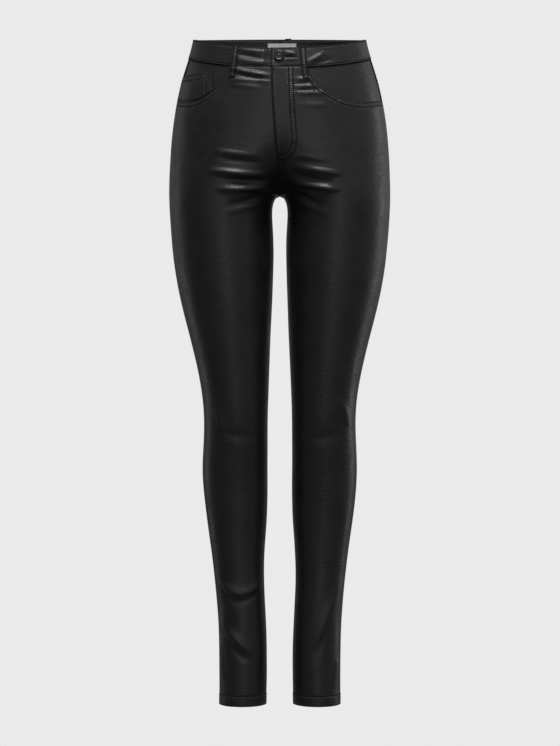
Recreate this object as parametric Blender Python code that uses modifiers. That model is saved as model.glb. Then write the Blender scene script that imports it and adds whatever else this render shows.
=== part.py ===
"""High-waisted skinny jeans in coated stretch twill, filled out as when they are worn.

Run it with: blender --background --python part.py

Metres, +Z up. The front faces -Y and the wearer's left is +X. The origin is in the middle of
the waist opening, where the body carries the garment. Each piece that is cut and sewn on is an
object of its own, a wall of cloth laid on one common form.
"""

import math
from collections import namedtuple

import bmesh
import bpy
import numpy as np
from mathutils import Matrix, Vector

# ---------------------------------------------------------------- driving dimensions
INSEAM = 0.806
CROTCH = -0.2326  # height of the point where the four leg panels meet
HEM = CROTCH - INSEAM
HEM_DEPTH = 0.016  # the turned-up edge
WALL = 0.0015  # coated twill, one layer
SEAM_GAP = 0.0003  # between two pieces that are sewn together
LAY_GAP = 0.0005  # between two layers that lie on each other
LEFT = 1
RIGHT = -1

BAND_HEIGHT = 0.031
BAND_WALL = 0.0026  # the waistband is two layers
BAND_PROUD = 0.0006  # how far it stands out from the panels
BAND_SIDE_TOP = 0.016  # height of its top edge over the hip
BAND_FRONT_DIP = 0.025  # the top edge is this much lower at the centre front
FRONT_DIP_CURVE = 1.5  # the lower, the sooner it starts to fall from the hip
BACK_RISE_CURVE = 1.1
BAND_BACK_RISE = 0.013  # and this much higher at the centre back
BAND_END = -0.0148  # x of the buttoned end, which laps towards the wearer's right
UNDERLAP_END = 0.022  # x where the band's hidden end stops

FLY_LEAN = 0.0125  # the fly's edge stands this far from the middle at the waist
FLY_FOOT = -0.215  # height where the centre front seam reaches the middle
FLY_STRAIGHTENS = 0.17  # it has its full lean this far above its foot
FLY_WIDTH = 0.033  # from the edge to the curved row of stitches
FLY_BOTTOM = -0.182
FLY_LIFT = 0.0010  # the layers under the flap raise it
FACING_WALL = 0.0012
SETTLED = -0.125  # below this height the front and back panels have the same rows

SCOOP_SIDE = -0.083  # height of the pocket mouth at the side seam
MOUTH_STEPS = (0.02, 0.07, 0.15, 0.26, 0.39, 0.52, 0.65, 0.77, 0.89, 1.0)  # its columns
# The mouth meets the waistband at this turn, with a rounder or squarer corner below it, and
# sags by this much on its way from the side seam.
Mouth = namedtuple("Mouth", "turn squareness sag")
MOUTH = {LEFT: Mouth(-75.0, 3.6, 0.012), RIGHT: Mouth(-61.0, 2.6, 0.012)}
SAG_TOWARDS_CORNER = 1.8  # over one, the sag is deepest past the middle of the mouth
FACING_UNDERLAP = 0.014
COIN_TOP = -0.0445
COIN_TURNS = (-49.3, -53.5)  # its front edge, at its top and its foot
COIN_CLEAR = 0.0018  # its foot ends this far above the mouth

YOKE_SIDE = -0.056  # height of the yoke seam at the side
YOKE_DROP = 0.018  # it is this much lower at the centre back
BACK_POCKET_TOP = -0.092
BACK_POCKET_WIDTH = 0.122
BACK_POCKET_FOOT_WIDTH = 0.104
BACK_POCKET_SIDE = 0.112
BACK_POCKET_POINT = 0.132
BACK_POCKET_TURN = 58.0  # where its middle lies

LOOP_WIDTH = 0.0095
LOOP_WALL = 0.0012
LOOP_TAIL = 0.020  # how far a belt loop reaches below the band
LOOP_BOW = 0.0018
BUTTON_RADIUS = 0.0083
BUTTON_HEIGHT = -0.0225
BUTTON_X = -0.0010
LABEL_WIDTH = 0.048
LABEL_HEIGHT = 0.022
LABEL_X = 0.0035

# ---------------------------------------------------------------- the form of the filled garment
# Each row is a level section of one leg. Outer is the silhouette's distance from the middle, and
# gap is half the daylight between the legs. The crowns are the x of the foremost and rearmost
# points, front and back their y, and level the y where the section is widest. Seam is where the
# side seam runs, in degrees: 0 is straight out to the side and -90 the middle of the front.
Section = namedtuple("Section", "height outer gap crown_front crown_back front back level seam")
SECTIONS = [
    Section(0.040, 0.1335, 0.0, 0.000, 0.000, -0.0855, 0.0835, 0.000, -7),
    Section(0.016, 0.1370, 0.0, 0.000, 0.000, -0.0880, 0.0860, 0.000, -7),
    Section(-0.016, 0.1452, 0.0, 0.002, 0.010, -0.0935, 0.0915, 0.000, -7),
    Section(-0.054, 0.1570, 0.0, 0.008, 0.030, -0.0995, 0.1005, 0.000, -8),
    Section(-0.092, 0.1652, 0.0, 0.020, 0.050, -0.1035, 0.1100, 0.000, -8),
    Section(-0.140, 0.1714, 0.0, 0.038, 0.066, -0.1050, 0.1190, 0.001, -9),
    Section(-0.190, 0.1747, 0.0, 0.064, 0.078, -0.1035, 0.1215, 0.002, -10),
    Section(-0.240, 0.1757, 0.0110, 0.090, 0.088, -0.0990, 0.1120, 0.003, -12),
    Section(-0.290, 0.1730, 0.0108, 0.090, 0.090, -0.0950, 0.0960, 0.003, -14),
    Section(-0.362, 0.1646, 0.0107, 0.086, 0.088, -0.0895, 0.0800, 0.000, -16),
    Section(-0.439, 0.1475, 0.0136, 0.080, 0.081, -0.0820, 0.0670, -0.003, -18),
    Section(-0.515, 0.1288, 0.0168, 0.073, 0.072, -0.0740, 0.0550, -0.007, -20),
    Section(-0.591, 0.1203, 0.0192, 0.069, 0.069, -0.0655, 0.0490, -0.008, -22),
    Section(-0.668, 0.1228, 0.0193, 0.070, 0.073, -0.0540, 0.0580, 0.002, -22),
    Section(-0.744, 0.1163, 0.0204, 0.068, 0.070, -0.0460, 0.0580, 0.006, -20),
    Section(-0.820, 0.1060, 0.0252, 0.065, 0.066, -0.0415, 0.0500, 0.005, -18),
    Section(-0.897, 0.0985, 0.0225, 0.060, 0.061, -0.0410, 0.0455, 0.003, -16),
    Section(-0.960, 0.0965, 0.0205, 0.058, 0.059, -0.0420, 0.0450, 0.002, -14),
    Section(-1.045, 0.0962, 0.0217, 0.059, 0.059, -0.0430, 0.0445, 0.001, -14),
]
SQUARENESS = 0.05  # how much fuller than an ellipse the outer half of a section is
FORK_SPREAD = 0.6  # above the crotch the two legs' sections cross by this share of the rise
FORK_CURVE = 9.0  # and by this much of its square, per metre
ARCH_RISE = 0.030  # the gap between the legs widens to its full size in this height
ARCH_ROUNDNESS = 2.3
ARCH_SPREAD = 12  # the higher, the nearer to the inseam its rounding stays
FORK_ZONE = 0.060  # height over which the panels' inner edges swing out over the crotch
INSEAM_LEAD = {LEFT: 32.0, RIGHT: 9.0}  # how far each inseam has turned to the front
INSEAM_LEAD_DEPTH = 0.070  # it takes this height to do so

# Main folds. The two ends are seen from the front or the back. Sag bends the line down in its
# middle, width is the half width of the ridge, and lift its height, negative for a trough.
Fold = namedtuple("Fold", "face x0 z0 x1 z1 sag width lift")
FRONT, BACK = -1, 1
FOLDS = [
    Fold(FRONT, -0.080, -0.040, -0.012, -0.055, 0.002, 0.0070, 0.0024),
    Fold(FRONT, -0.084, -0.062, -0.022, -0.075, 0.001, 0.0065, 0.0014),
    Fold(FRONT, 0.018, -0.079, 0.072, -0.080, 0.000, 0.0070, 0.0024),
    Fold(FRONT, 0.026, -0.100, 0.076, -0.099, 0.000, 0.0070, 0.0014),
    Fold(FRONT, -0.112, -0.170, -0.030, -0.178, 0.001, 0.0080, 0.0022),
    Fold(FRONT, -0.116, -0.199, -0.020, -0.201, 0.003, 0.0080, 0.0030),
    Fold(FRONT, -0.104, -0.229, -0.008, -0.214, 0.003, 0.0080, 0.0030),
    Fold(FRONT, 0.018, -0.189, 0.100, -0.207, 0.000, 0.0080, 0.0026),
    Fold(FRONT, 0.010, -0.212, 0.098, -0.231, 0.000, 0.0080, 0.0032),
    Fold(FRONT, -0.102, -0.828, -0.024, -0.840, 0.026, 0.0110, 0.0034),
    Fold(FRONT, -0.100, -0.854, -0.032, -0.872, 0.020, 0.0100, -0.0024),
    Fold(FRONT, -0.098, -0.902, -0.040, -0.956, 0.003, 0.0100, 0.0028),
    Fold(FRONT, 0.102, -0.832, 0.054, -0.956, 0.000, 0.0110, 0.0028),
    Fold(FRONT, 0.094, -0.950, 0.082, -1.014, 0.000, 0.0090, 0.0018),
    Fold(BACK, -0.114, -0.574, -0.022, -0.580, 0.006, 0.0100, 0.0020),
    Fold(BACK, -0.112, -0.600, -0.024, -0.606, 0.004, 0.0100, -0.0018),
    Fold(BACK, 0.022, -0.578, 0.114, -0.572, 0.006, 0.0100, 0.0020),
    Fold(BACK, 0.024, -0.604, 0.110, -0.599, 0.005, 0.0100, -0.0018),
    Fold(BACK, -0.104, -0.270, -0.012, -0.244, 0.004, 0.0100, -0.0020),
    Fold(BACK, 0.012, -0.244, 0.106, -0.272, 0.004, 0.0100, -0.0020),
]
BEHIND = {"pocket_facing_left", "pocket_facing_right", "coin_pocket", "fly_facing", "zip_tape"}
BEHIND |= {"fly_shield", "waist_label", "waistband_left", "waistband_right"}

# ---------------------------------------------------------------- finishes
Finish = namedtuple("Finish", "colour roughness metallic")
FINISHES = {
    "coated_twill": Finish((0.018, 0.018, 0.020), 0.42, 0.0),
    "plain_twill": Finish((0.030, 0.030, 0.032), 0.70, 0.0),
    "zip_coil": Finish((0.020, 0.020, 0.020), 0.60, 0.0),
    "dark_metal": Finish((0.060, 0.060, 0.065), 0.35, 0.9),
    "label_weave": Finish((0.780, 0.780, 0.770), 0.80, 0.0),
}


def start_scene():
    """Removes whatever the scene holds and makes the collection that the pieces go in."""
    for thing in list(bpy.data.objects):
        bpy.data.objects.remove(thing)
    jeans = bpy.data.collections.new("skinny_jeans")
    bpy.context.scene.collection.children.link(jeans)
    return jeans


def make_finishes():
    made = {}
    for name, finish in FINISHES.items():
        material = bpy.data.materials.new(name)
        material.use_nodes = True
        shader = material.node_tree.nodes["Principled BSDF"]
        shader.inputs["Base Color"].default_value = (*finish.colour, 1.0)
        shader.inputs["Roughness"].default_value = finish.roughness
        shader.inputs["Metallic"].default_value = finish.metallic
        made[name] = material
    return made


# ---------------------------------------------------------------- curves through the tables
def bends_of(heights, values):
    """Second derivatives at the knots of the natural cubic spline through the points."""
    count = len(heights)
    step = np.diff(heights)
    slope = np.diff(values) / step
    system = np.eye(count)
    right = np.zeros(count)
    for i in range(1, count - 1):
        system[i, i - 1 : i + 2] = step[i - 1], 2 * (step[i - 1] + step[i]), step[i]
        right[i] = 6 * (slope[i] - slope[i - 1])
    return np.linalg.solve(system, right)


KNOTS = np.array([row.height for row in reversed(SECTIONS)])
CURVES = {}
for field in Section._fields[1:]:
    column = np.array([getattr(row, field) for row in reversed(SECTIONS)])
    CURVES[field] = (column, bends_of(KNOTS, column))


def at(field, height):
    """The value of one column of SECTIONS at any height."""
    values, bends = CURVES[field]
    height = min(max(height, KNOTS[0]), KNOTS[-1])
    i = min(int(np.searchsorted(KNOTS, height, side="right")) - 1, len(KNOTS) - 2)
    step = KNOTS[i + 1] - KNOTS[i]
    high = (height - KNOTS[i]) / step
    low = 1 - high
    curve = (low**3 - low) * bends[i] + (high**3 - high) * bends[i + 1]
    return float(low * values[i] + high * values[i + 1] + curve * step**2 / 6)


def ease(share):
    """0 to 1 with no kink at either end."""
    share = min(max(share, 0.0), 1.0)
    return share * share * (3 - 2 * share)


def mix(a, b, share):
    return a + (b - a) * share


# ---------------------------------------------------------------- the common form
def fork_x(height):
    """x of a section's inner side: the leg gap below the crotch, and a crossing above it."""
    rise = height - CROTCH
    if rise >= 0:
        return -(FORK_SPREAD * rise + FORK_CURVE * rise * rise)
    gap = at("gap", min(height, CROTCH - ARCH_RISE))
    return gap * (1 - math.exp(FORK_SPREAD * rise / gap))


def arch_x(height):
    """What the round arch under the crotch takes away beyond that, along the inseam."""
    rise = height - CROTCH
    if rise >= 0:
        return 0.0
    share = min(-rise / ARCH_RISE, 1.0)
    arch = (1 - (1 - share) ** ARCH_ROUNDNESS) ** (1 / ARCH_ROUNDNESS)
    return max(at("gap", min(height, CROTCH - ARCH_RISE)) * arch - fork_x(height), 0.0)


def oval(turn, height):
    """A point of one leg's section on the +X side, before it is cut at the middle."""
    face = FRONT if turn < 0 else BACK
    crown = max(at("crown_front" if face == FRONT else "crown_back", height), 0.0)
    level = at("level", height)
    depth = abs(at("front" if face == FRONT else "back", height) - level)
    angle = math.radians(turn)
    across, along = math.cos(angle), math.sin(angle)
    if across >= 0:
        reach = at("outer", height) - crown
        fuller_x = 1 + SQUARENESS * along * along
        fuller_y = 1 + SQUARENESS * across * across * along * along
        return Vector((crown + reach * across * fuller_x, level + depth * along * fuller_y, height))
    reach = crown - fork_x(height)
    cut = arch_x(height) * across**ARCH_SPREAD
    return Vector((crown + reach * across + cut, level + depth * along, height))


def turn_at_middle(height, face):
    """Where the section meets the middle plane, in degrees. It is 180 at the crotch and below."""
    if height <= CROTCH:
        return 180.0 * face
    crown = max(at("crown_front" if face == FRONT else "crown_back", height), 0.0)
    share = crown / (crown - fork_x(height))
    return face * (180.0 - math.degrees(math.acos(share)))


def outward(turn, height):
    """The direction straight out of the cloth on the +X side."""
    small_turn, small_step = 0.5, 0.0008
    around = oval(turn + small_turn, height) - oval(turn - small_turn, height)
    up = oval(turn, height + small_step) - oval(turn, height - small_step)
    return around.cross(up).normalized()


def fold_lift(point, level):
    """How far the folds push the cloth out at a point of the form."""
    face = FRONT if point.y < level else BACK
    lift = 0.0
    for fold in FOLDS:
        if fold.face != face:
            continue
        run_x, run_z = fold.x1 - fold.x0, fold.z1 - fold.z0
        length_2 = run_x * run_x + run_z * run_z
        share = ((point.x - fold.x0) * run_x + (point.z - fold.z0) * run_z) / length_2
        if not 0 < share < 1:
            continue
        away = (point.z - fold.z0) * run_x - (point.x - fold.x0) * run_z
        away = away / math.sqrt(length_2) + fold.sag * 4 * share * (1 - share)
        taper = math.sin(math.pi * share) ** 0.7
        lift += fold.lift * taper * math.exp(-((away / fold.width) ** 2))
    # Folds fade where the cloth turns away to the side and where the inseam is.
    return lift * ease(abs(point.y - level) / 0.030)


def on_form(side, turn, height, out=0.0, folded=True):
    """A point of the garment: out is its distance from the outer face of the leg panels."""
    middle = turn_at_middle(height, FRONT if turn < 0 else BACK)
    mirror = 1
    if height > CROTCH and abs(turn) > abs(middle):
        turn = 2 * middle - turn
        mirror = -1
    elif turn > 180:
        turn -= 360
    elif turn < -180:
        turn += 360
    point = oval(turn, height)
    straight_out = outward(turn, height)
    point.x *= mirror * side
    straight_out.x *= mirror * side
    lift = fold_lift(point, at("level", height)) if folded else 0.0
    point += straight_out * (out + lift)
    point.x += side * SEAM_GAP / 2
    return point


def turn_at_x(x, height, face):
    """The turn on the +X side where the form, seen from the front or back, has this x."""
    far, near = turn_at_middle(height, face), 0.0
    if x < 0:
        return 2 * far - turn_at_x(-x, height, face)
    for _ in range(40):
        half = (far + near) / 2
        if oval(half, height).x < x:
            far = half
        else:
            near = half
    return (far + near) / 2


def degrees_for(length, turn, height):
    """A length along the cloth, level, as a turn."""
    return length / (oval(turn + 0.5, height) - oval(turn - 0.5, height)).length


# ---------------------------------------------------------------- seam lines
def band_top(turn):
    """Height of the waistband's top edge, lower in front and higher behind."""
    bulge = math.sin(math.radians(turn))
    if turn < 0:
        return BAND_SIDE_TOP - BAND_FRONT_DIP * abs(bulge) ** FRONT_DIP_CURVE
    return BAND_SIDE_TOP + BAND_BACK_RISE * bulge**BACK_RISE_CURVE


def band_seam(turn):
    return band_top(turn) - BAND_HEIGHT


def yoke_seam(turn):
    share = (turn - at("seam", YOKE_SIDE)) / (90 - at("seam", YOKE_SIDE))
    return YOKE_SIDE - YOKE_DROP * share


def fly_edge_x(height):
    """x of the centre front seam, which leans to the wearer's right as it rises."""
    share = min(max((height - FLY_FOOT) / FLY_STRAIGHTENS, 0.0), 1.0)
    return -FLY_LEAN * math.sin(math.pi / 2 * share)


def fly_edge(side, height):
    """The turn of the centre front seam, as the given side's front panel counts it."""
    if height <= FLY_FOOT:
        return turn_at_middle(height, FRONT)
    return turn_at_x(side * fly_edge_x(height), height, FRONT)


def inseam_turn(side, height, face):
    lead = INSEAM_LEAD[side] * ease((CROTCH - height) / INSEAM_LEAD_DEPTH)
    return 180.0 * face + lead


def scoop(side, turn):
    """Height of the pocket mouth. Nearer the middle than its corner it is out of the way."""
    mouth = MOUTH[side]
    seam = at("seam", SCOOP_SIDE)
    share = (turn - seam) / (mouth.turn - seam)
    if share >= 1:
        return math.inf
    share = max(share, 0.0)
    climb = 1 - (1 - share**mouth.squareness) ** (1 / mouth.squareness)
    sag = mouth.sag * math.sin(math.pi * share**SAG_TOWARDS_CORNER)
    return mix(SCOOP_SIDE, band_seam(mouth.turn), climb) - sag


# ---------------------------------------------------------------- making pieces
def slab(name, columns, rows, place):
    """A closed wall of cloth as a mesh: a flat grid, one layer thick, bent onto the form.

    place(column, row, face) gives a point, where face is 1 on the outside and 0 inside.
    """
    bm = bmesh.new()
    bmesh.ops.create_grid(bm, x_segments=columns, y_segments=rows, size=0.5)
    lifted = bmesh.ops.extrude_face_region(bm, geom=bm.faces[:])["geom"]
    outside = {item for item in lifted if isinstance(item, bmesh.types.BMVert)}
    for vert in bm.verts:
        column = round((vert.co.x + 0.5) * columns)
        row = round((0.5 - vert.co.y) * rows)
        vert.co = place(column, row, 1 if vert in outside else 0)
    bmesh.ops.recalc_face_normals(bm, faces=bm.faces)
    if bm.calc_volume(signed=True) < 0:
        bmesh.ops.reverse_faces(bm, faces=bm.faces)
    mesh = bpy.data.meshes.new(name)
    bm.to_mesh(mesh)
    bm.free()
    return mesh


def add_piece(name, mesh, material, crease_degrees=50):
    mesh.materials.append(FINISH[material])
    mesh.shade_smooth()
    mesh.set_sharp_from_angle(angle=math.radians(crease_degrees))
    piece = bpy.data.objects.new(name, mesh)
    JEANS.objects.link(piece)
    return piece


def side_name(side):
    return "left" if side == LEFT else "right"


def levels(spans, top):
    """Heights from the top down. Each span gives the height it ends at and its steps."""
    found = [top]
    for end, steps in spans:
        start = found[-1]
        found += [mix(start, end, (i + 1) / steps) for i in range(steps)]
    return found


def crotch_levels(above, below, steps):
    """Heights close together at the crotch, where the form turns level."""
    upper = [CROTCH + above * (1 - i / steps) ** 2 for i in range(1, steps + 1)]
    lower = [CROTCH - below * (i / steps) ** 2 for i in range(1, steps + 1)]
    return upper + lower


def panel_levels(top, steps_to_settled):
    """Every height of a leg panel's rows, the same in front and back below SETTLED."""
    above, below, steps = 0.016, ARCH_RISE, 4
    upper = levels([(SETTLED, steps_to_settled), (CROTCH + above, 10)], top)
    spans = [(-0.540, 7), (-0.640, 7), (-0.820, 6), (-0.980, 10), (HEM + HEM_DEPTH, 2)]
    lower = levels(spans + [(HEM + HEM_DEPTH - 0.003, 1), (HEM, 1)], CROTCH - below)
    return upper + crotch_levels(above, below, steps) + lower[1:]


def leg_panel(name, side, shares, heights, top_of, edges_of, lift_of):
    """A front or back leg panel, from its top seam to the hem.

    shares are its columns, 0 at the inner edge and 1 at the side seam. top_of(turn) is its top
    edge, and the rows above SETTLED are pressed in between that edge and it.
    """

    above_fork = edges_of(CROTCH + FORK_ZONE)[0]
    hinge = min(share for share in shares if share > 0.22)

    def turn_of(share, height):
        inner, outer = edges_of(height)
        way = 1 if outer > inner else -1
        inner += way * degrees_for(SEAM_GAP / 2, inner, height)
        outer -= way * degrees_for(SEAM_GAP / 2, outer, height)
        # The inner edge swings away fast over the crotch, so only the columns near it follow.
        steady = inner
        if 0 < height - CROTCH < FORK_ZONE:
            steady = mix(-180.0 * way, above_fork, ease((height - CROTCH) / FORK_ZONE))
        if share >= hinge:
            return mix(steady, outer, share)
        return mix(inner, mix(steady, outer, hinge), share / hinge)

    tops = []
    for share in shares:
        top = heights[0]
        for _ in range(12):
            top = mix(top, top_of(turn_of(share, top)) - SEAM_GAP / 2, 0.7)
        tops.append(top)

    def place(column, row, face):
        height = heights[row]
        if height > SETTLED:
            share = (height - SETTLED) / (heights[0] - SETTLED)
            height = mix(SETTLED, tops[column], share)
        turn = turn_of(shares[column], height)
        if face:
            return on_form(side, turn, height, lift_of(turn, height))
        turned_up = ease((HEM + HEM_DEPTH - height) / 0.003)
        return on_form(side, turn, height, -WALL * (1 + 0.8 * turned_up))

    mesh = slab(name, len(shares) - 1, len(heights) - 1, place)
    return add_piece(name, mesh, "coated_twill")


def patch(name, material, side, columns, rows, turn_of, height_of, inside, outside):
    """A four-sided piece that lies along the form.

    turn_of(u, v) and height_of(u, v) place it, for u from 0 to 1 across and v from 0 at its top
    to 1. inside and outside are the distances of its two faces, each a number or f(turn, height).
    The folds are in the panels and in what lies on them. What lies behind them stays smooth.
    """
    folded = name not in BEHIND

    def place(column, row, face):
        u, v = column / columns, row / rows
        turn, height = turn_of(u, v), height_of(u, v)
        out = outside if face else inside
        return on_form(side, turn, height, out(turn, height) if callable(out) else out, folded)

    return add_piece(name, slab(name, columns, rows, place), material)


# ---------------------------------------------------------------- legs
def build_front(side):
    """A front panel: cut away at the pocket mouth, and on the left raised along the fly."""
    corner = MOUTH[side].turn
    seam_height = band_seam(corner)
    inner = fly_edge(side, seam_height)
    outer = at("seam", seam_height)
    mouth = (corner - inner) / (outer - inner)
    shares = [mouth * i / 5 for i in range(6)]
    shares += [mix(mouth, 1.0, step) for step in MOUTH_STEPS]
    heights = panel_levels(band_seam(0), 9)

    def top_of(turn):
        return min(band_seam(turn), scoop(side, turn))

    def edges_of(height):
        if height > CROTCH:
            return fly_edge(side, height), at("seam", height)
        return inseam_turn(side, height, FRONT), at("seam", height)

    def lift_of(turn, height):
        if side == RIGHT or height < FLY_BOTTOM - 0.02:
            return 0.0
        from_edge = (turn - fly_edge(side, height)) / degrees_for(1.0, turn, height)
        inside_fly = ease((FLY_WIDTH - from_edge) / 0.006)
        return FLY_LIFT * inside_fly * ease((height - FLY_BOTTOM + 0.015) / 0.02)

    name = f"front_{side_name(side)}"
    return leg_panel(name, side, shares, heights, top_of, edges_of, lift_of)


def build_back(side):
    shares = [i / 10 for i in range(11)]
    heights = panel_levels(YOKE_SIDE, 4)

    def edges_of(height):
        if height > CROTCH:
            return turn_at_middle(height, BACK), at("seam", height)
        return inseam_turn(side, height, BACK), at("seam", height)

    name = f"back_{side_name(side)}"
    return leg_panel(name, side, shares, heights, yoke_seam, edges_of, lambda t, h: 0.0)


def build_yoke(side):
    def turn_of(u, v):
        start = at("seam", mix(band_seam(0), YOKE_SIDE, v)) + 0.1
        return mix(start, turn_at_middle(mix(band_seam(90), YOKE_SIDE - YOKE_DROP, v), BACK), u)

    def height_of(u, v):
        turn = turn_of(u, v)
        return mix(band_seam(turn) - SEAM_GAP / 2, yoke_seam(turn) + SEAM_GAP / 2, v)

    name = f"yoke_{side_name(side)}"
    return patch(name, "coated_twill", side, 10, 3, turn_of, height_of, -WALL, 0.0)


# ---------------------------------------------------------------- waistband
def build_band(side):
    """Half of the waistband. The right half runs on, sunk, under the buttoned end."""
    middle = band_seam(-90) + BAND_HEIGHT / 2
    step_end = turn_at_x(-BAND_END, middle, FRONT) + 0.6
    step_start = step_end + 4.0
    under_end = turn_at_x(-UNDERLAP_END, middle, FRONT)
    sink = BAND_WALL + LAY_GAP
    if side == LEFT:
        end = turn_at_x(BAND_END + SEAM_GAP, middle, FRONT)
        stops = [mix(end, -90.0, i / 3) for i in range(4)]
    else:
        stops = [mix(under_end, step_end, i / 4) for i in range(5)] + [step_start]
    fixed, even = len(stops) - 1, 20

    def turn_of(u, v):
        column = round(u * (fixed + even))
        if column <= fixed:
            return stops[column]
        back_end = turn_at_middle(band_top(90) - v * BAND_HEIGHT, BACK)
        return mix(stops[-1], back_end, (column - fixed) / even)

    def height_of(u, v):
        return band_top(turn_of(u, v)) - v * (BAND_HEIGHT - SEAM_GAP / 2)

    def outside(turn, height):
        sunk = sink * ease((step_start - turn) / (step_start - step_end)) if side == RIGHT else 0.0
        return BAND_PROUD - sunk

    return patch(
        f"waistband_{side_name(side)}", "coated_twill", side, fixed + even, 3, turn_of, height_of,
        lambda t, h: outside(t, h) - BAND_WALL, outside,
    )


def build_label():
    """A plain woven label inside the back of the waistband."""
    inner_face = BAND_PROUD - BAND_WALL - LAY_GAP - SEAM_GAP
    top = band_top(90) - 0.006

    def turn_of(u, v):
        return turn_at_x(LABEL_X + LABEL_WIDTH * (u - 0.5), top, BACK)

    def height_of(u, v):
        return top - LABEL_HEIGHT * v

    return patch(
        "waist_label", "label_weave", LEFT, 6, 2, turn_of, height_of, inner_face - 0.001, inner_face
    )


# ---------------------------------------------------------------- pockets
def build_facing(side):
    """The cloth that shows in the pocket mouth, sewn behind the front panel."""
    corner = MOUTH[side].turn
    foot = SCOOP_SIDE - MOUTH[side].sag - FACING_UNDERLAP

    def turn_of(u, v):
        return mix(corner - 5, at("seam", -0.06) - 0.1, u)

    def height_of(u, v):
        return mix(band_seam(turn_of(u, v)) - SEAM_GAP / 2, foot, v)

    outer_face = -WALL - LAY_GAP
    name = f"pocket_facing_{side_name(side)}"
    return patch(
        name, "coated_twill", side, 9, 6, turn_of, height_of, outer_face - FACING_WALL, outer_face
    )


def build_coin_pocket():
    """The small pocket on the right facing. Its foot tucks up to the pocket mouth."""
    inner_face = -WALL

    def turn_of(u, v):
        return mix(mix(*COIN_TURNS, v), at("seam", COIN_TOP) - 0.6, u)

    def height_of(u, v):
        turn = turn_of(u, v)
        return mix(COIN_TOP, scoop(RIGHT, turn) + COIN_CLEAR, v)

    outer_face = inner_face + FACING_WALL
    return patch(
        "coin_pocket", "coated_twill", RIGHT, 9, 4, turn_of, height_of, inner_face, outer_face
    )


def build_back_pocket(side):
    """A patch pocket with a pointed foot."""
    middle_height = BACK_POCKET_TOP - BACK_POCKET_SIDE / 2

    def turn_of(u, v):
        width = mix(BACK_POCKET_WIDTH, BACK_POCKET_FOOT_WIDTH, v)
        span = degrees_for(width, BACK_POCKET_TURN, middle_height)
        return BACK_POCKET_TURN + span * (u - 0.5)

    def height_of(u, v):
        point = 1 - abs(2 * u - 1)
        length = mix(BACK_POCKET_SIDE, BACK_POCKET_POINT, point)
        tilt = 0.006 * (0.5 - u)
        return BACK_POCKET_TOP + tilt - length * v

    name = f"back_pocket_{side_name(side)}"
    inside = LAY_GAP
    return patch(name, "coated_twill", side, 12, 10, turn_of, height_of, inside, inside + WALL)


# ---------------------------------------------------------------- fly
FLY_TOP = band_seam(-90) - SEAM_GAP
FACING_FACE = WALL + LAY_GAP  # depths behind the panels' outer face, from the flap inwards
SLIDER_FACE = FACING_FACE + FACING_WALL + SEAM_GAP
SLIDER_BODY = Vector((0.0076, 0.0090, 0.0016))
SLIDER_PULL = Vector((0.0050, 0.0160, 0.0008))
SLIDER_TO_EDGE = 0.011
TAPE_FACE = SLIDER_FACE + SLIDER_BODY.z + SEAM_GAP
TAPE_WALL = 0.0008
SHIELD_FACE = TAPE_FACE + TAPE_WALL + 1.5 * LAY_GAP
TAPE_FOOT = FLY_BOTTOM + 0.020
SHIELD_FOOT = FLY_BOTTOM + 0.010


def fly_patch(name, material, from_edge, to_edge, bottom, columns, inside, outside):
    """A strip behind the fly, between two distances from the fly's edge, positive to +X."""

    def height_of(u, v):
        return mix(FLY_TOP, bottom, v)

    def turn_of(u, v):
        height = height_of(u, v)
        x = fly_edge_x(height) + mix(from_edge, to_edge(v), u)
        return turn_at_x(x, height, FRONT)

    return patch(name, material, LEFT, columns, 10, turn_of, height_of, inside, outside)


def build_fly():
    """The facing, zip and shield behind the flap, and the zip's slider."""

    def rounded_foot(v):
        bend = max(0.0, (v - 0.75) / 0.25)
        return mix(0.006, FLY_WIDTH, math.sqrt(1 - bend**2))

    fly_patch(
        "fly_facing", "coated_twill", 0.001, rounded_foot, FLY_BOTTOM, 4,
        -FACING_FACE - FACING_WALL, -FACING_FACE,
    )
    fly_patch(
        "zip_tape", "zip_coil", -0.001, lambda v: 0.023, TAPE_FOOT, 4,
        -TAPE_FACE - TAPE_WALL, -TAPE_FACE,
    )

    def shield_face(turn, height):
        """The shield lies on the zip, and steps up to the right panel's back beside it."""
        from_edge = on_form(LEFT, turn, height).x - fly_edge_x(height)
        return -mix(WALL + 2 * LAY_GAP, SHIELD_FACE, ease((from_edge + 0.021) / 0.012))

    fly_patch(
        "fly_shield", "plain_twill", -0.024, lambda v: mix(0.026, 0.014, ease(v * 1.2 - 0.2)),
        SHIELD_FOOT, 8, lambda t, h: shield_face(t, h) - FACING_WALL, shield_face,
    )
    height = FLY_TOP - 0.012
    slider = add_block("zip_slider", SLIDER_BODY, SLIDER_PULL)
    turn = turn_at_x(fly_edge_x(height) + SLIDER_TO_EDGE, height, FRONT)
    seat_on(slider, turn, height, -TAPE_FACE + SEAM_GAP)


def add_block(name, body, pull):
    """The slider: its body, with the pull lying flat below it, in one piece."""
    bm = bmesh.new()
    bmesh.ops.create_cube(bm, size=1, matrix=Matrix.Diagonal((*body, 1)))
    foot = [face for face in bm.faces if face.normal.y < -0.5]
    bmesh.ops.inset_region(bm, faces=foot, thickness=0.0004)
    neck = bmesh.ops.extrude_face_region(bm, geom=foot)["geom"]
    for vert in (item for item in neck if isinstance(item, bmesh.types.BMVert)):
        vert.co.y -= pull.y
        vert.co.x *= pull.x / body.x
    bmesh.ops.delete(bm, geom=[face for face in foot if face.is_valid], context="FACES_ONLY")
    bmesh.ops.translate(bm, verts=bm.verts, vec=(0, 0, body.z / 2))
    bmesh.ops.recalc_face_normals(bm, faces=bm.faces)
    mesh = bpy.data.meshes.new(name)
    bm.to_mesh(mesh)
    bm.free()
    return add_piece(name, mesh, "dark_metal")


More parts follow.
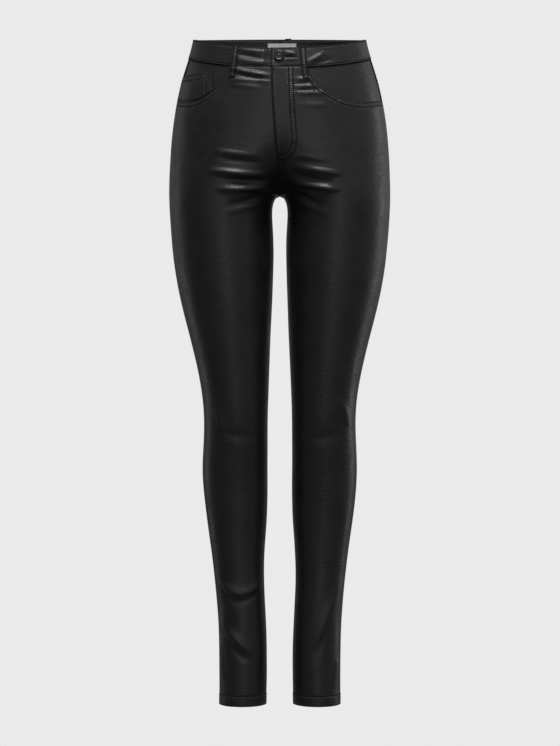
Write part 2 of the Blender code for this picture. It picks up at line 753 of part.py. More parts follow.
def seat_on(piece, turn, height, out):
    """Sets a piece on the form with its own Z straight out of the cloth and its Y up."""
    seat = on_form(LEFT, turn, height, out)
    straight_out = on_form(LEFT, turn, height, out + 0.001) - seat
    piece.location = seat
    piece.rotation_mode = "QUATERNION"
    piece.rotation_quaternion = straight_out.to_track_quat("Z", "Y")


# ---------------------------------------------------------------- belt loops and button
Loop = namedtuple("Loop", "name side top_turn foot_turn head")
LOOPS = [
    Loop("belt_loop_front_left", LEFT, -76.7, -78.4, 0.0),
    Loop("belt_loop_front_right", RIGHT, -62.7, -64.7, 0.0),
    Loop("belt_loop_side_left", LEFT, 18.0, 17.0, 0.0),
    Loop("belt_loop_side_right", RIGHT, 18.0, 17.0, 0.0),
    Loop("belt_loop_back", LEFT, 84.4, 88.5, 0.0015),
]


def build_loop(loop):
    """A belt loop, bowed off the band and lying on the panel at its tail."""
    top = band_top(loop.top_turn) + loop.head
    foot = band_seam(loop.top_turn) - LOOP_TAIL

    def turn_of(u, v):
        turn = mix(loop.top_turn, loop.foot_turn, v)
        return turn + degrees_for(LOOP_WIDTH, turn, mix(top, foot, v)) * (u - 0.5)

    def height_of(u, v):
        return mix(top, foot, v)

    def seat(turn, height):
        """The loop's inner face: off the band above its seam, and off the panel below."""
        share = min(max((top - height) / (top - foot), 0.0), 1.0)
        on_band = ease((height - band_seam(turn) + 0.004) / 0.004)
        return LAY_GAP + BAND_PROUD * on_band + LOOP_BOW * math.sin(math.pi * share) ** 0.8

    return patch(
        loop.name, "coated_twill", loop.side, 2, 9, turn_of, height_of,
        seat, lambda t, h: seat(t, h) + LOOP_WALL,
    )


def build_button():
    """A domed jeans button with a rolled rim, turned about its own axis, and its short shank."""
    rim, dome = 0.0024, 0.0008
    profile = [
        (0.0000, rim + dome * 0.4), (0.0030, rim + dome * 0.2), (0.0048, rim - 0.0004),
        (0.0060, rim + 0.0001), (0.0070, rim + 0.0002), (0.0079, rim - 0.0003),
        (BUTTON_RADIUS, rim - 0.0010), (0.0078, rim - 0.0016), (0.0066, 0.0006),
        (0.0030, 0.0006), (0.0030, 0.0000), (0.0000, 0.0000),
    ]
    bm = bmesh.new()
    verts = [bm.verts.new((radius, 0, out)) for radius, out in profile]
    for first, second in zip(verts, verts[1:]):
        bm.edges.new((first, second))
    mesh = bpy.data.meshes.new("button")
    bm.to_mesh(mesh)
    bm.free()
    button = add_piece("button", mesh, "dark_metal")
    turned = button.modifiers.new("turned", "SCREW")
    turned.steps = turned.render_steps = 20
    turned.use_merge_vertices = True
    turned.merge_threshold = 0.00005
    seat_on(button, turn_at_x(BUTTON_X, BUTTON_HEIGHT, FRONT), BUTTON_HEIGHT, BAND_PROUD + SEAM_GAP)


JEANS = start_scene()
HELPERS = bpy.data.collections.new("helpers")
bpy.context.scene.collection.children.link(HELPERS)
FINISH = make_finishes()
for leg in (LEFT, RIGHT):
    build_front(leg)
    build_back(leg)
    build_yoke(leg)
    build_band(leg)
    build_facing(leg)
    build_back_pocket(leg)
build_coin_pocket()
build_fly()
build_label()
for row in LOOPS:
    build_loop(row)
build_button()
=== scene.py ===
# %% [markdown]
# Black coated skinny jeans, shown filled out with no wearer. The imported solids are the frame:
# every cloth piece below is a thin shell on the same worked-out form as its solid, in metres,
# +Z up, with the front facing -Y and the wearer's left at +X.

# %% Load the frame
import math
from collections import namedtuple

import bmesh
import bpy
import numpy as np
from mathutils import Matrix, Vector, kdtree, noise


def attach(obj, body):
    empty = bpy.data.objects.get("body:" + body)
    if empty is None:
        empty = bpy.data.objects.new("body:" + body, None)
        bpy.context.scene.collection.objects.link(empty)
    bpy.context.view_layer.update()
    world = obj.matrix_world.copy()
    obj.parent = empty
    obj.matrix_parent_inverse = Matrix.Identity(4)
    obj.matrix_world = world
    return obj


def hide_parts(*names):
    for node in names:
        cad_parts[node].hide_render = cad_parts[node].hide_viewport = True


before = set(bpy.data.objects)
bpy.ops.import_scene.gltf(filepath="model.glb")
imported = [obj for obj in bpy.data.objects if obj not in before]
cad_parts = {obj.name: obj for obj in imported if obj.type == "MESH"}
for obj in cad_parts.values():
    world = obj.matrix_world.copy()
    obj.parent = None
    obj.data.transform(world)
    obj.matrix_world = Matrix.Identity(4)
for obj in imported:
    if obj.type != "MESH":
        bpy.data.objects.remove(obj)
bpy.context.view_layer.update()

LEFT, RIGHT = 1, -1
BOTH = ((LEFT, "left"), (RIGHT, "right"))
FRONT, BACK = -1, 1

# %% [markdown]
# Three helpers that the later cells share: one shows an object, and two add a node to a material.

# %% Helpers
def show(name, data):
    """A new object in the scene."""
    thing = bpy.data.objects.new(name, data)
    bpy.context.scene.collection.objects.link(thing)
    return thing


def add(tree, kind, links=(), **values):
    """A node with its settings, and links as (input name or number, output socket)."""
    node = tree.nodes.new(kind)
    for name, value in values.items():
        if hasattr(node, name):
            setattr(node, name, value)
        else:
            node.inputs[name.replace("_", " ")].default_value = value
    for name, source in links:
        tree.links.new(source, node.inputs[name])
    return node


def math_node(tree, operation, a, b):
    """The result of a sum on two sockets or numbers."""
    node = add(tree, "ShaderNodeMath", operation=operation)
    for socket, value in zip(node.inputs, (a, b)):
        if isinstance(value, (int, float)):
            socket.default_value = value
        else:
            tree.links.new(value, socket)
    return node.outputs[0]

# %% [markdown]
# Camera and light. The photograph is a straight front view, taken here as from 3.6 metres, with the
# lens level with the thighs. Real product shots of coated cloth use large soft boxes, because a
# satin surface shows the shape of every lamp. A tall box beside the camera gives the legs their
# broad soft highlight, one overhead picks out the folds, and two behind at the sides give the rims.

# %% Camera and studio
PIXEL = 0.00159  # metres to a pixel at the garment's middle plane
IMAGE = (560, 746)
CENTRE_PIXEL = (279.8, 373.0)
DISTANCE = 3.6
EYE_HEIGHT = -0.5136
SENSOR = 0.036

camera_data = bpy.data.cameras.new("camera")
camera = show("camera", camera_data)
camera.location = (0.0, -DISTANCE, EYE_HEIGHT)
camera.rotation_euler = (math.radians(90), 0, 0)
camera_data.sensor_width = SENSOR * 1000
camera_data.lens = SENSOR * 1000 * DISTANCE / (PIXEL * IMAGE[1])
camera_data.shift_x = (IMAGE[0] / 2 - CENTRE_PIXEL[0]) / IMAGE[1]
camera_data.shift_y = (CENTRE_PIXEL[1] - IMAGE[1] / 2) / IMAGE[1]
camera_data.clip_end = 60
bpy.context.scene.camera = camera
bpy.context.scene.view_settings.view_transform = "Standard"

BACKDROP = 0.823  # 234 of 255
Lamp = namedtuple("Lamp", "name x y z wide tall watts")
LAMPS = [
    Lamp("top", 0.15, -0.95, 1.90, 1.30, 0.50, 30.0),
    Lamp("front_strip", 0.30, -4.20, -0.20, 1.10, 2.60, 7.0),
    Lamp("rim_right", 1.90, 0.95, -0.40, 0.40, 2.4, 5.0),
    Lamp("rim_left", -1.90, 1.10, -0.40, 0.35, 2.4, 2.5),
]
AIM = Vector((0, 0, -0.45))
for row in LAMPS:
    light = bpy.data.lights.new(row.name, "AREA")
    light.shape = "RECTANGLE"
    light.size, light.size_y, light.energy = row.wide, row.tall, row.watts
    lamp = show(row.name, light)
    lamp.location = (row.x, row.y, row.z)
    aim = Vector((AIM.x, AIM.y, row.z if row.name != "top" else AIM.z))
    lamp.rotation_euler = (aim - lamp.location).to_track_quat("-Z", "Y").to_euler()

# %% Backdrop and floor
# how bright the studio is towards each side: axis, sign, from, to, strength
GLOWS = [
    ("Y", -1, 0.72, 1.00, 0.30),  # soft light beside the camera
    ("Y", 1, 0.45, 0.90, 0.09),  # the white backdrop
    ("X", 1, 0.10, 0.80, 0.18),
    ("Z", 1, 0.25, 0.90, 0.25),
]
DIM = 0.10


FLOOR_LIT, FLOOR_SIZE, FLOOR_HEIGHT = 0.12, 14, -1.25


def studio_level(tree):
    place = add(tree, "ShaderNodeTexCoord").outputs["Generated"]
    parts = add(tree, "ShaderNodeSeparateXYZ", [(0, place)])
    level = DIM
    for axis, sign, start, end, strength in GLOWS:
        ramp = add(tree, "ShaderNodeMapRange", [("Value", parts.outputs[axis])],
                   interpolation_type="SMOOTHSTEP",
                   From_Min=sign * start, From_Max=sign * end, To_Max=strength)
        level = math_node(tree, "ADD", ramp.outputs["Result"], level)
    return level


def show_backdrop(owner, shader_type, output_type, lit_of):
    """The camera sees the plain backdrop. The object is lit by something else."""
    owner.use_nodes = True
    tree = owner.node_tree
    tree.nodes.clear()
    path = add(tree, "ShaderNodeLightPath")
    level = add(tree, "ShaderNodeMix", [("Factor", path.outputs["Is Camera Ray"])], B=BACKDROP)
    lit = lit_of(tree)
    if isinstance(lit, float):
        level.inputs["A"].default_value = lit
    else:
        tree.links.new(lit, level.inputs["A"])
    glow = add(tree, shader_type, [("Strength", level.outputs["Result"])], Color=(1, 1, 1, 1))
    add(tree, output_type, [("Surface", glow.outputs[0])])


world = bpy.data.worlds.new("studio")
bpy.context.scene.world = world
show_backdrop(world, "ShaderNodeBackground", "ShaderNodeOutputWorld", studio_level)

floor_mesh = bpy.data.meshes.new("floor")
bm = bmesh.new()
bmesh.ops.create_grid(bm, x_segments=1, y_segments=1, size=FLOOR_SIZE)
bm.to_mesh(floor_mesh)
bm.free()
floor = show("floor", floor_mesh)
floor.location.z = FLOOR_HEIGHT
pale = bpy.data.materials.new("pale_floor")
show_backdrop(pale, "ShaderNodeEmission", "ShaderNodeOutputMaterial", lambda tree: FLOOR_LIT)
floor_mesh.materials.append(pale)
print("camera lens", round(camera_data.lens, 2), "mm,", len(LAMPS), "lamps")

# %% [markdown]
# The form. Jeans like these take the wearer's shape, so the form is a stack of level sections of
# one leg, each made of four quarter ovals. The other leg mirrors it. Above the crotch a section is
# cut at the middle, where the two halves are sewn together. The numbers are those of the solids.

# %% Sections of the filled garment
CROTCH = -0.2326
HEM = CROTCH - 0.806
HEM_DEPTH = 0.016
Section = namedtuple("Section", "height outer gap crown_front crown_back front back level seam")
SECTIONS = [
    Section(0.040, 0.1335, 0.0, 0.000, 0.000, -0.0855, 0.0835, 0.000, -7),
    Section(0.016, 0.1370, 0.0, 0.000, 0.000, -0.0880, 0.0860, 0.000, -7),
    Section(-0.016, 0.1452, 0.0, 0.002, 0.010, -0.0935, 0.0915, 0.000, -7),
    Section(-0.054, 0.1570, 0.0, 0.008, 0.030, -0.0995, 0.1005, 0.000, -8),
    Section(-0.092, 0.1652, 0.0, 0.020, 0.050, -0.1035, 0.1100, 0.000, -8),
    Section(-0.140, 0.1714, 0.0, 0.038, 0.066, -0.1050, 0.1190, 0.001, -9),
    Section(-0.190, 0.1747, 0.0, 0.064, 0.078, -0.1035, 0.1215, 0.002, -10),
    Section(-0.240, 0.1757, 0.0110, 0.090, 0.088, -0.0990, 0.1120, 0.003, -12),
    Section(-0.290, 0.1730, 0.0108, 0.090, 0.090, -0.0950, 0.0960, 0.003, -14),
    Section(-0.362, 0.1646, 0.0107, 0.086, 0.088, -0.0895, 0.0800, 0.000, -16),
    Section(-0.439, 0.1475, 0.0136, 0.080, 0.081, -0.0820, 0.0670, -0.003, -18),
    Section(-0.515, 0.1288, 0.0168, 0.073, 0.072, -0.0740, 0.0550, -0.007, -20),
    Section(-0.591, 0.1203, 0.0192, 0.069, 0.069, -0.0655, 0.0490, -0.008, -22),
    Section(-0.668, 0.1228, 0.0193, 0.070, 0.073, -0.0540, 0.0580, 0.002, -22),
    Section(-0.744, 0.1163, 0.0204, 0.068, 0.070, -0.0460, 0.0580, 0.006, -20),
    Section(-0.820, 0.1060, 0.0252, 0.065, 0.066, -0.0415, 0.0500, 0.005, -18),
    Section(-0.897, 0.0985, 0.0225, 0.060, 0.061, -0.0410, 0.0455, 0.003, -16),
    Section(-0.960, 0.0965, 0.0205, 0.058, 0.059, -0.0420, 0.0450, 0.002, -14),
    Section(-1.045, 0.0962, 0.0217, 0.059, 0.059, -0.0430, 0.0445, 0.001, -14),
]
SQUARENESS = 0.05
FORK_SPREAD, FORK_CURVE, FORK_ZONE = 0.6, 9.0, 0.060
ARCH_RISE, ARCH_ROUNDNESS, ARCH_SPREAD = 0.030, 2.3, 12
print("sections:", len(SECTIONS))

# %% [markdown]
# A natural cubic spline joins the sections, so the leg has no kinks. At the crotch the quarter
# ovals spread apart, and an arch joins the two legs.

# %% Points of a section
def spline_bends(heights, values):
    """Second derivatives of the natural cubic spline through the points."""
    count, step = len(heights), np.diff(heights)
    slope = np.diff(values) / step
    system, right = np.eye(count), np.zeros(count)
    for i in range(1, count - 1):
        system[i, i - 1 : i + 2] = step[i - 1], 2 * (step[i - 1] + step[i]), step[i]
        right[i] = 6 * (slope[i] - slope[i - 1])
    return np.linalg.solve(system, right)


KNOTS = np.array([row.height for row in reversed(SECTIONS)])
CURVES = {}
for field in Section._fields[1:]:
    column = np.array([getattr(row, field) for row in reversed(SECTIONS)])
    CURVES[field] = (column, spline_bends(KNOTS, column))


def at(field, z):
    """One column of SECTIONS at any heights."""
    values, bends = CURVES[field]
    z = np.clip(z, KNOTS[0], KNOTS[-1])
    i = np.clip(np.searchsorted(KNOTS, z, side="right") - 1, 0, len(KNOTS) - 2)
    step = KNOTS[i + 1] - KNOTS[i]
    high = (z - KNOTS[i]) / step
    low = 1 - high
    curve = (low**3 - low) * bends[i] + (high**3 - high) * bends[i + 1]
    return low * values[i] + high * values[i + 1] + curve * step**2 / 6


def ease(share):
    share = np.clip(share, 0.0, 1.0)
    return share * share * (3 - 2 * share)


def mix(a, b, share):
    return a + (b - a) * share


def fork_x(z):
    rise = z - CROTCH
    gap = at("gap", np.minimum(z, CROTCH - ARCH_RISE))
    above = -(FORK_SPREAD * rise + FORK_CURVE * rise * rise)
    return np.where(rise >= 0, above, gap * (1 - np.exp(FORK_SPREAD * np.minimum(rise, 0) / gap)))


def arch_x(z):
    share = np.clip((CROTCH - z) / ARCH_RISE, 0, 1)
    arch = (1 - (1 - share) ** ARCH_ROUNDNESS) ** (1 / ARCH_ROUNDNESS)
    gap = at("gap", np.minimum(z, CROTCH - ARCH_RISE))
    return np.where(z < CROTCH, np.maximum(gap * arch - fork_x(z), 0), 0)


def crown_x(turn, z):
    return np.maximum(np.where(turn < 0, at("crown_front", z), at("crown_back", z)), 0)


def oval(turn, z):
    """Points of one leg's section on the +X side, before it is cut at the middle."""
    crown, level = crown_x(turn, z), at("level", z)
    depth = np.abs(np.where(turn < 0, at("front", z), at("back", z)) - level)
    across, along = np.cos(np.radians(turn)), np.sin(np.radians(turn))
    outer = across >= 0
    reach = np.where(outer, at("outer", z) - crown, crown - fork_x(z))
    full_x = np.where(outer, 1 + SQUARENESS * along**2, 1)
    full_y = np.where(outer, 1 + SQUARENESS * across**2 * along**2, 1)
    cut = np.where(outer, 0, arch_x(z) * np.abs(across) ** ARCH_SPREAD)
    x = crown + reach * across * full_x + cut
    return np.stack([x, level + depth * along * full_y, z + 0 * x], axis=-1)


def turn_at_middle(z, face):
    """Where the section meets the middle plane, in degrees."""
    crown = crown_x(np.full(np.shape(z), float(face)), z)
    share = crown / np.maximum(crown - fork_x(z), 1e-6)
    return face * np.where(z <= CROTCH, 180.0, 180.0 - np.degrees(np.arccos(np.clip(share, 0, 1))))


def turn_at_x(x, z, face):
    """The turn where the form, seen from the front or back, has this x, by halving."""
    x, z = np.broadcast_arrays(np.asarray(x, float), np.asarray(z, float))
    far, near = turn_at_middle(z, face), np.zeros(x.shape)
    middle = far
    for _ in range(36):
        half = (far + near) / 2
        inside = oval(half, z)[..., 0] < np.abs(x)
        far, near = np.where(inside, half, far), np.where(inside, near, half)
    found = (far + near) / 2
    return np.where(x < 0, 2 * middle - found, found)


def degrees_for(length, turn, z):
    return length / np.linalg.norm(oval(turn + 0.5, z) - oval(turn - 0.5, z), axis=-1)


print("hip width", round(2 * float(at("outer", -0.24)), 4))

# %% [markdown]
# Folds. Snug stretch cloth shows drag lines, not deep folds: short ridges across the fly and
# the crotch where it is pulled, and slack that gathers at the shins and behind the knees. Each
# row is given in metres, seen from the front or the back, and no two are alike.

# %% Folds
Fold = namedtuple("Fold", "face x0 z0 x1 z1 sag width lift")
FOLDS = [
    # below the waistband, towards the fly
    Fold(FRONT, -0.076, -0.041, -0.011, -0.054, 0.0020, 0.0030, 0.0021),
    Fold(FRONT, -0.074, -0.048, -0.013, -0.0595, 0.0015, 0.0026, -0.0012),
    Fold(FRONT, -0.082, -0.058, -0.040, -0.0605, 0.0010, 0.0026, 0.0012),
    Fold(FRONT, -0.034, -0.061, -0.012, -0.0640, 0.0000, 0.0024, 0.0011),
    Fold(FRONT, -0.084, -0.064, -0.024, -0.0735, 0.0010, 0.0034, 0.0009),
    Fold(FRONT, 0.022, -0.060, 0.050, -0.0580, 0.0000, 0.0026, 0.0013),
    Fold(FRONT, 0.021, -0.066, 0.052, -0.0640, 0.0005, 0.0024, -0.0010),
    Fold(FRONT, 0.021, -0.072, 0.062, -0.0695, 0.0000, 0.0026, 0.0014),
    Fold(FRONT, 0.022, -0.0765, 0.066, -0.0745, 0.0000, 0.0024, -0.0011),
    Fold(FRONT, 0.021, -0.0815, 0.074, -0.0800, 0.0000, 0.0030, 0.0016),
    Fold(FRONT, 0.024, -0.100, 0.078, -0.099, 0.0000, 0.0045, 0.0009),
    # on the pockets' facing and beside the left mouth
    Fold(FRONT, 0.058, -0.058, 0.100, -0.0475, 0.0010, 0.0032, 0.0014),
    Fold(FRONT, 0.062, -0.0685, 0.104, -0.0765, 0.0010, 0.0030, -0.0014),
    # the waistband, pulled by its button and loops
    Fold(FRONT, -0.068, -0.0185, -0.022, -0.0290, -0.0010, 0.0030, -0.0012),
    Fold(FRONT, -0.070, -0.0270, -0.014, -0.0340, 0.0010, 0.0036, 0.0012),
    Fold(FRONT, -0.062, -0.0120, -0.016, -0.0175, 0.0005, 0.0030, 0.0011),
    Fold(FRONT, 0.002, -0.0245, 0.030, -0.0225, 0.0005, 0.0020, -0.0012),
    Fold(FRONT, 0.006, -0.0300, 0.028, -0.0270, -0.0010, 0.0026, 0.0014),
    Fold(FRONT, 0.006, -0.0160, 0.026, -0.0190, 0.0010, 0.0024, 0.0011),
    Fold(FRONT, 0.038, -0.0340, 0.070, -0.0150, 0.0020, 0.0034, 0.0012),
    Fold(FRONT, 0.046, -0.0370, 0.084, -0.0240, 0.0010, 0.0034, -0.0009),
    Fold(FRONT, -0.012, -0.030, -0.0085, -0.046, 0.0000, 0.0026, 0.0012),
    # across the crotch, fanning out from it
    Fold(FRONT, -0.104, -0.170, -0.032, -0.177, 0.0010, 0.0044, 0.0017),
    Fold(FRONT, -0.096, -0.182, -0.024, -0.189, 0.0010, 0.0042, -0.0016),
    Fold(FRONT, -0.112, -0.200, -0.018, -0.205, 0.0020, 0.0050, 0.0036),
    Fold(FRONT, -0.094, -0.213, -0.016, -0.214, 0.0025, 0.0042, -0.0026),
    Fold(FRONT, -0.098, -0.229, -0.010, -0.221, 0.0030, 0.0048, 0.0036),
    Fold(FRONT, -0.080, -0.254, -0.010, -0.231, 0.0020, 0.0048, -0.0026),
    Fold(FRONT, -0.086, -0.266, -0.014, -0.241, 0.0020, 0.0052, 0.0012),
    Fold(FRONT, 0.020, -0.176, 0.080, -0.186, 0.0000, 0.0038, 0.0010),
    Fold(FRONT, 0.018, -0.192, 0.096, -0.206, 0.0010, 0.0046, 0.0030),
    Fold(FRONT, 0.014, -0.204, 0.084, -0.219, 0.0010, 0.0040, -0.0022),
    Fold(FRONT, 0.012, -0.214, 0.092, -0.231, 0.0010, 0.0046, 0.0036),
    Fold(FRONT, 0.009, -0.228, 0.066, -0.253, 0.0000, 0.0050, -0.0028),
    Fold(FRONT, 0.014, -0.240, 0.076, -0.268, 0.0010, 0.0050, 0.0011),
    # knees
    Fold(FRONT, -0.102, -0.566, -0.086, -0.610, 0.0000, 0.0040, 0.0010),
    Fold(FRONT, 0.096, -0.556, 0.112, -0.602, 0.0000, 0.0055, 0.0010),
    Fold(FRONT, -0.094, -0.604, -0.036, -0.612, 0.0040, 0.0080, -0.0008),
    Fold(FRONT, 0.036, -0.616, 0.098, -0.606, 0.0040, 0.0080, -0.0008),
    # shins and ankles
    Fold(FRONT, -0.100, -0.828, -0.026, -0.842, 0.0250, 0.0070, 0.0024),
    Fold(FRONT, -0.096, -0.846, -0.034, -0.860, 0.0190, 0.0060, -0.0018),
    Fold(FRONT, -0.097, -0.902, -0.042, -0.956, 0.0030, 0.0070, 0.0022),
    Fold(FRONT, -0.096, -0.918, -0.050, -0.968, 0.0020, 0.0055, -0.0014),
    Fold(FRONT, -0.093, -0.930, -0.088, -1.004, 0.0020, 0.0030, 0.0013),
    Fold(FRONT, 0.099, -0.836, 0.056, -0.950, 0.0000, 0.0080, 0.0019),
    Fold(FRONT, 0.088, -0.880, 0.048, -0.975, 0.0000, 0.0060, -0.0011),
    Fold(FRONT, 0.0915, -0.960, 0.0845, -1.010, 0.0000, 0.0030, 0.0013),
    # under the seat and behind the knees
    Fold(BACK, -0.108, -0.268, -0.014, -0.243, 0.0040, 0.0060, -0.0018),
    Fold(BACK, -0.090, -0.292, -0.016, -0.262, 0.0030, 0.0060, 0.0014),
    Fold(BACK, 0.013, -0.244, 0.104, -0.271, 0.0040, 0.0060, -0.0018),
    Fold(BACK, 0.016, -0.264, 0.094, -0.296, 0.0030, 0.0060, 0.0014),
    Fold(BACK, -0.112, -0.560, -0.026, -0.566, 0.0070, 0.0060, 0.0018),
    Fold(BACK, -0.108, -0.577, -0.030, -0.586, 0.0050, 0.0055, -0.0020),
    Fold(BACK, -0.110, -0.594, -0.026, -0.604, 0.0040, 0.0060, 0.0022),
    Fold(BACK, -0.104, -0.615, -0.036, -0.622, 0.0020, 0.0055, -0.0017),
    Fold(BACK, -0.108, -0.640, -0.040, -0.636, -0.0030, 0.0070, 0.0013),
    Fold(BACK, 0.024, -0.564, 0.112, -0.556, 0.0060, 0.0060, 0.0017),
    Fold(BACK, 0.028, -0.583, 0.108, -0.574, 0.0050, 0.0055, -0.0021),
    Fold(BACK, 0.026, -0.606, 0.110, -0.598, 0.0040, 0.0060, 0.0021),
    Fold(BACK, 0.034, -0.626, 0.104, -0.618, 0.0020, 0.0055, -0.0018),
    Fold(BACK, 0.042, -0.640, 0.106, -0.645, -0.0030, 0.0070, 0.0012),
    Fold(BACK, -0.092, -0.900, -0.030, -0.930, 0.0040, 0.0070, 0.0016),
    Fold(BACK, -0.092, -0.944, -0.034, -0.962, 0.0040, 0.0065, 0.0013),
    Fold(BACK, 0.030, -0.912, 0.092, -0.890, 0.0040, 0.0070, 0.0015),
    Fold(BACK, 0.034, -0.968, 0.090, -0.950, 0.0040, 0.0065, 0.0014),
]
print("folds:", len(FOLDS))

# %% Points of the garment
FOLD_STRENGTH = 1.6
SLACK = 0.00055
NUDGE = 0.001  # a short way out of the cloth, to find which way out is


def fold_lift(point):
    """How far the folds push the cloth out at points of the form."""
    x, y, z = point[..., 0], point[..., 1], point[..., 2]
    level = at("level", z)
    lift = np.zeros(x.shape)
    for fold in FOLDS:
        run_x, run_z = fold.x1 - fold.x0, fold.z1 - fold.z0
        length = math.hypot(run_x, run_z)
        share = ((x - fold.x0) * run_x + (z - fold.z0) * run_z) / length**2
        away = ((z - fold.z0) * run_x - (x - fold.x0) * run_z) / length
        if run_x < 0:
            away = -away
        away = away + fold.sag * 4 * share * (1 - share)
        inside = (share > 0) & (share < 1) & ((y > level) == (fold.face == BACK))
        taper = np.sin(np.pi * np.clip(share, 0, 1)) ** 0.8
        lift += np.where(inside, FOLD_STRENGTH * fold.lift * taper * np.exp(-((away / fold.width) ** 2)), 0)
    return lift * ease(np.abs(y - level) / 0.030)


def slack(point):
    """Broad unevenness of the filled cloth, under half a millimetre."""
    flat = point.reshape(-1, 3)
    value = [
        noise.noise(Vector((p[0] * 16, p[1] * 16, p[2] * 9 + 4)))
        + 0.5 * noise.noise(Vector((p[0] * 34, p[1] * 34, p[2] * 20 + 9)))
        for p in flat
    ]
    return SLACK * np.array(value).reshape(point.shape[:-1])


def on_form(side, turn, z, out=0.0, folded=True):
    """Points of the garment. out is the distance from the outer face of the leg panels."""
    turn, z, out = np.broadcast_arrays(np.asarray(turn, float), np.asarray(z, float), out)
    middle = np.where(turn < 0, turn_at_middle(z, FRONT), turn_at_middle(z, BACK))
    over = (z > CROTCH) & (np.abs(turn) > np.abs(middle))
    mirror = np.where(over, -1.0, 1.0)
    turn = np.where(over, 2 * middle - turn, turn)
    turn = np.where(turn > 180, turn - 360, np.where(turn < -180, turn + 360, turn))
    point = oval(turn, z)
    around = oval(turn + 0.5, z) - oval(turn - 0.5, z)
    up = oval(turn, z + 0.0008) - oval(turn, z - 0.0008)
    straight_out = np.cross(around, up)
    straight_out /= np.linalg.norm(straight_out, axis=-1, keepdims=True)
    flip = np.stack([mirror * side, np.ones_like(mirror), np.ones_like(mirror)], axis=-1)
    point, straight_out = point * flip, straight_out * flip
    lift = fold_lift(point) + slack(point) if folded else 0.0
    return point + straight_out * (out + lift)[..., None]


print("outer knee of the left leg:", on_form(LEFT, 0.0, -0.59).round(4))

# %% [markdown]
# Seam lines. A pair of five-pocket jeans has its waistband, yoke, fly, pocket mouths and side
# seams in much the same places on every make, so each is a short function with its own sizes.

# %% Seam lines
BAND_HEIGHT = 0.031
BAND_PROUD = 0.0006
FLY_FOOT, FLY_BOTTOM, FLY_WIDTH, FLY_LEAN = -0.215, -0.182, 0.033, 0.0125
YOKE_SIDE, YOKE_DROP = -0.056, 0.018
SCOOP_SIDE = -0.083
Mouth = namedtuple("Mouth", "turn squareness sag")
MOUTH = {LEFT: Mouth(-75.0, 3.6, 0.012), RIGHT: Mouth(-61.0, 2.6, 0.012)}
INSEAM_LEAD = {LEFT: 32.0, RIGHT: 9.0}
BAND_END = -0.0148


def band_top(turn):
    bulge = np.sin(np.radians(turn))
    return 0.016 + np.where(bulge < 0, -0.025 * np.abs(bulge) ** 1.5, 0.013 * np.abs(bulge) ** 1.1)


def band_seam(turn):
    return band_top(turn) - BAND_HEIGHT


def yoke_seam(turn):
    seam = at("seam", YOKE_SIDE)
    return YOKE_SIDE - YOKE_DROP * (turn - seam) / (90 - seam)


def fly_edge_x(z):
    return -FLY_LEAN * np.sin(np.pi / 2 * np.clip((z - FLY_FOOT) / 0.17, 0, 1))


def fly_edge(side, z):
    return np.where(z <= FLY_FOOT, turn_at_middle(z, FRONT), turn_at_x(side * fly_edge_x(z), z, FRONT))


def inseam_turn(side, z, face):
    return 180.0 * face + INSEAM_LEAD[side] * ease((CROTCH - z) / 0.070)


def scoop(side, turn):
    """Height of the pocket mouth, and far above the waist nearer the middle."""
    mouth, seam = MOUTH[side], at("seam", SCOOP_SIDE)
    share = np.clip((turn - seam) / (mouth.turn - seam), 0, 1)
    climb = 1 - (1 - share**mouth.squareness) ** (1 / mouth.squareness)
    z = mix(SCOOP_SIDE, band_seam(mouth.turn), climb) - mouth.sag * np.sin(np.pi * share**1.8)
    return np.where(share >= 1, 9.0, z)


def front_edges(side, z):
    inner = np.where(z > CROTCH, fly_edge(side, z), inseam_turn(side, z, FRONT))
    return inner, at("seam", z)


def back_edges(side, z):
    inner = np.where(z > CROTCH, turn_at_middle(z, BACK), inseam_turn(side, z, BACK))
    return inner, at("seam", z)


HINGE = 0.27  # the share of a panel's width, from the inner edge, that swings at the crotch


def steady_turn(side, face, shares, z):
    """Turns of a panel's columns at each height. Over the crotch only the inner ones swing."""
    edges = front_edges if face == FRONT else back_edges
    inner, outer = edges(side, z)
    over = edges(side, np.full(np.shape(z), CROTCH + FORK_ZONE))[0]
    rise = (z - CROTCH) / FORK_ZONE
    steady = np.where((rise > 0) & (rise < 1), mix(180.0 * face, over, ease(rise)), inner)
    near = mix(inner, mix(steady, outer, HINGE), shares / HINGE)
    return np.where(shares < HINGE, near, mix(steady, outer, shares))


print("fly leans", FLY_LEAN, "m, leg opening", HEM)

# %% [markdown]
# Materials. Coated denim is a black stretch twill with a thin polyurethane film rolled on. The
# film fills the weave, so the twill shows only as a faint grain, and the satin shine varies where
# the film is thicker or rubbed. Sewing pulls the cloth into a dimpled groove, which is made from
# a mesh attribute that holds each point's distance to the nearest row of stitches.

# %% Shared surface groups
def new_group(name, sockets_in, sockets_out):
    group = bpy.data.node_groups.new(name, "ShaderNodeTree")
    for socket, kind, value in sockets_in:
        made = group.interface.new_socket(socket, in_out="INPUT", socket_type=kind)
        if value is not None:
            made.default_value = value
    for socket, kind in sockets_out:
        group.interface.new_socket(socket, in_out="OUTPUT", socket_type=kind)
    nodes = group.nodes
    return group, nodes.new("NodeGroupInput"), nodes.new("NodeGroupOutput")


PITCH = 0.0034  # from one stitch to the next
GROOVE_REACH = 0.0042  # further out than this, another row may be the nearest
PUCKER_REACH = 0.0030
SEAM_SHADE = 0.0011
GRAIN_DEPTH, GROOVE_DEPTH = 0.0004, 0.0008
COLOUR_A, COLOUR_B, COLOUR_RESULT = 6, 7, 2  # a mix node's sockets for colours
FLOAT, COLOUR, VECTOR = "NodeSocketFloat", "NodeSocketColor", "NodeSocketVector"


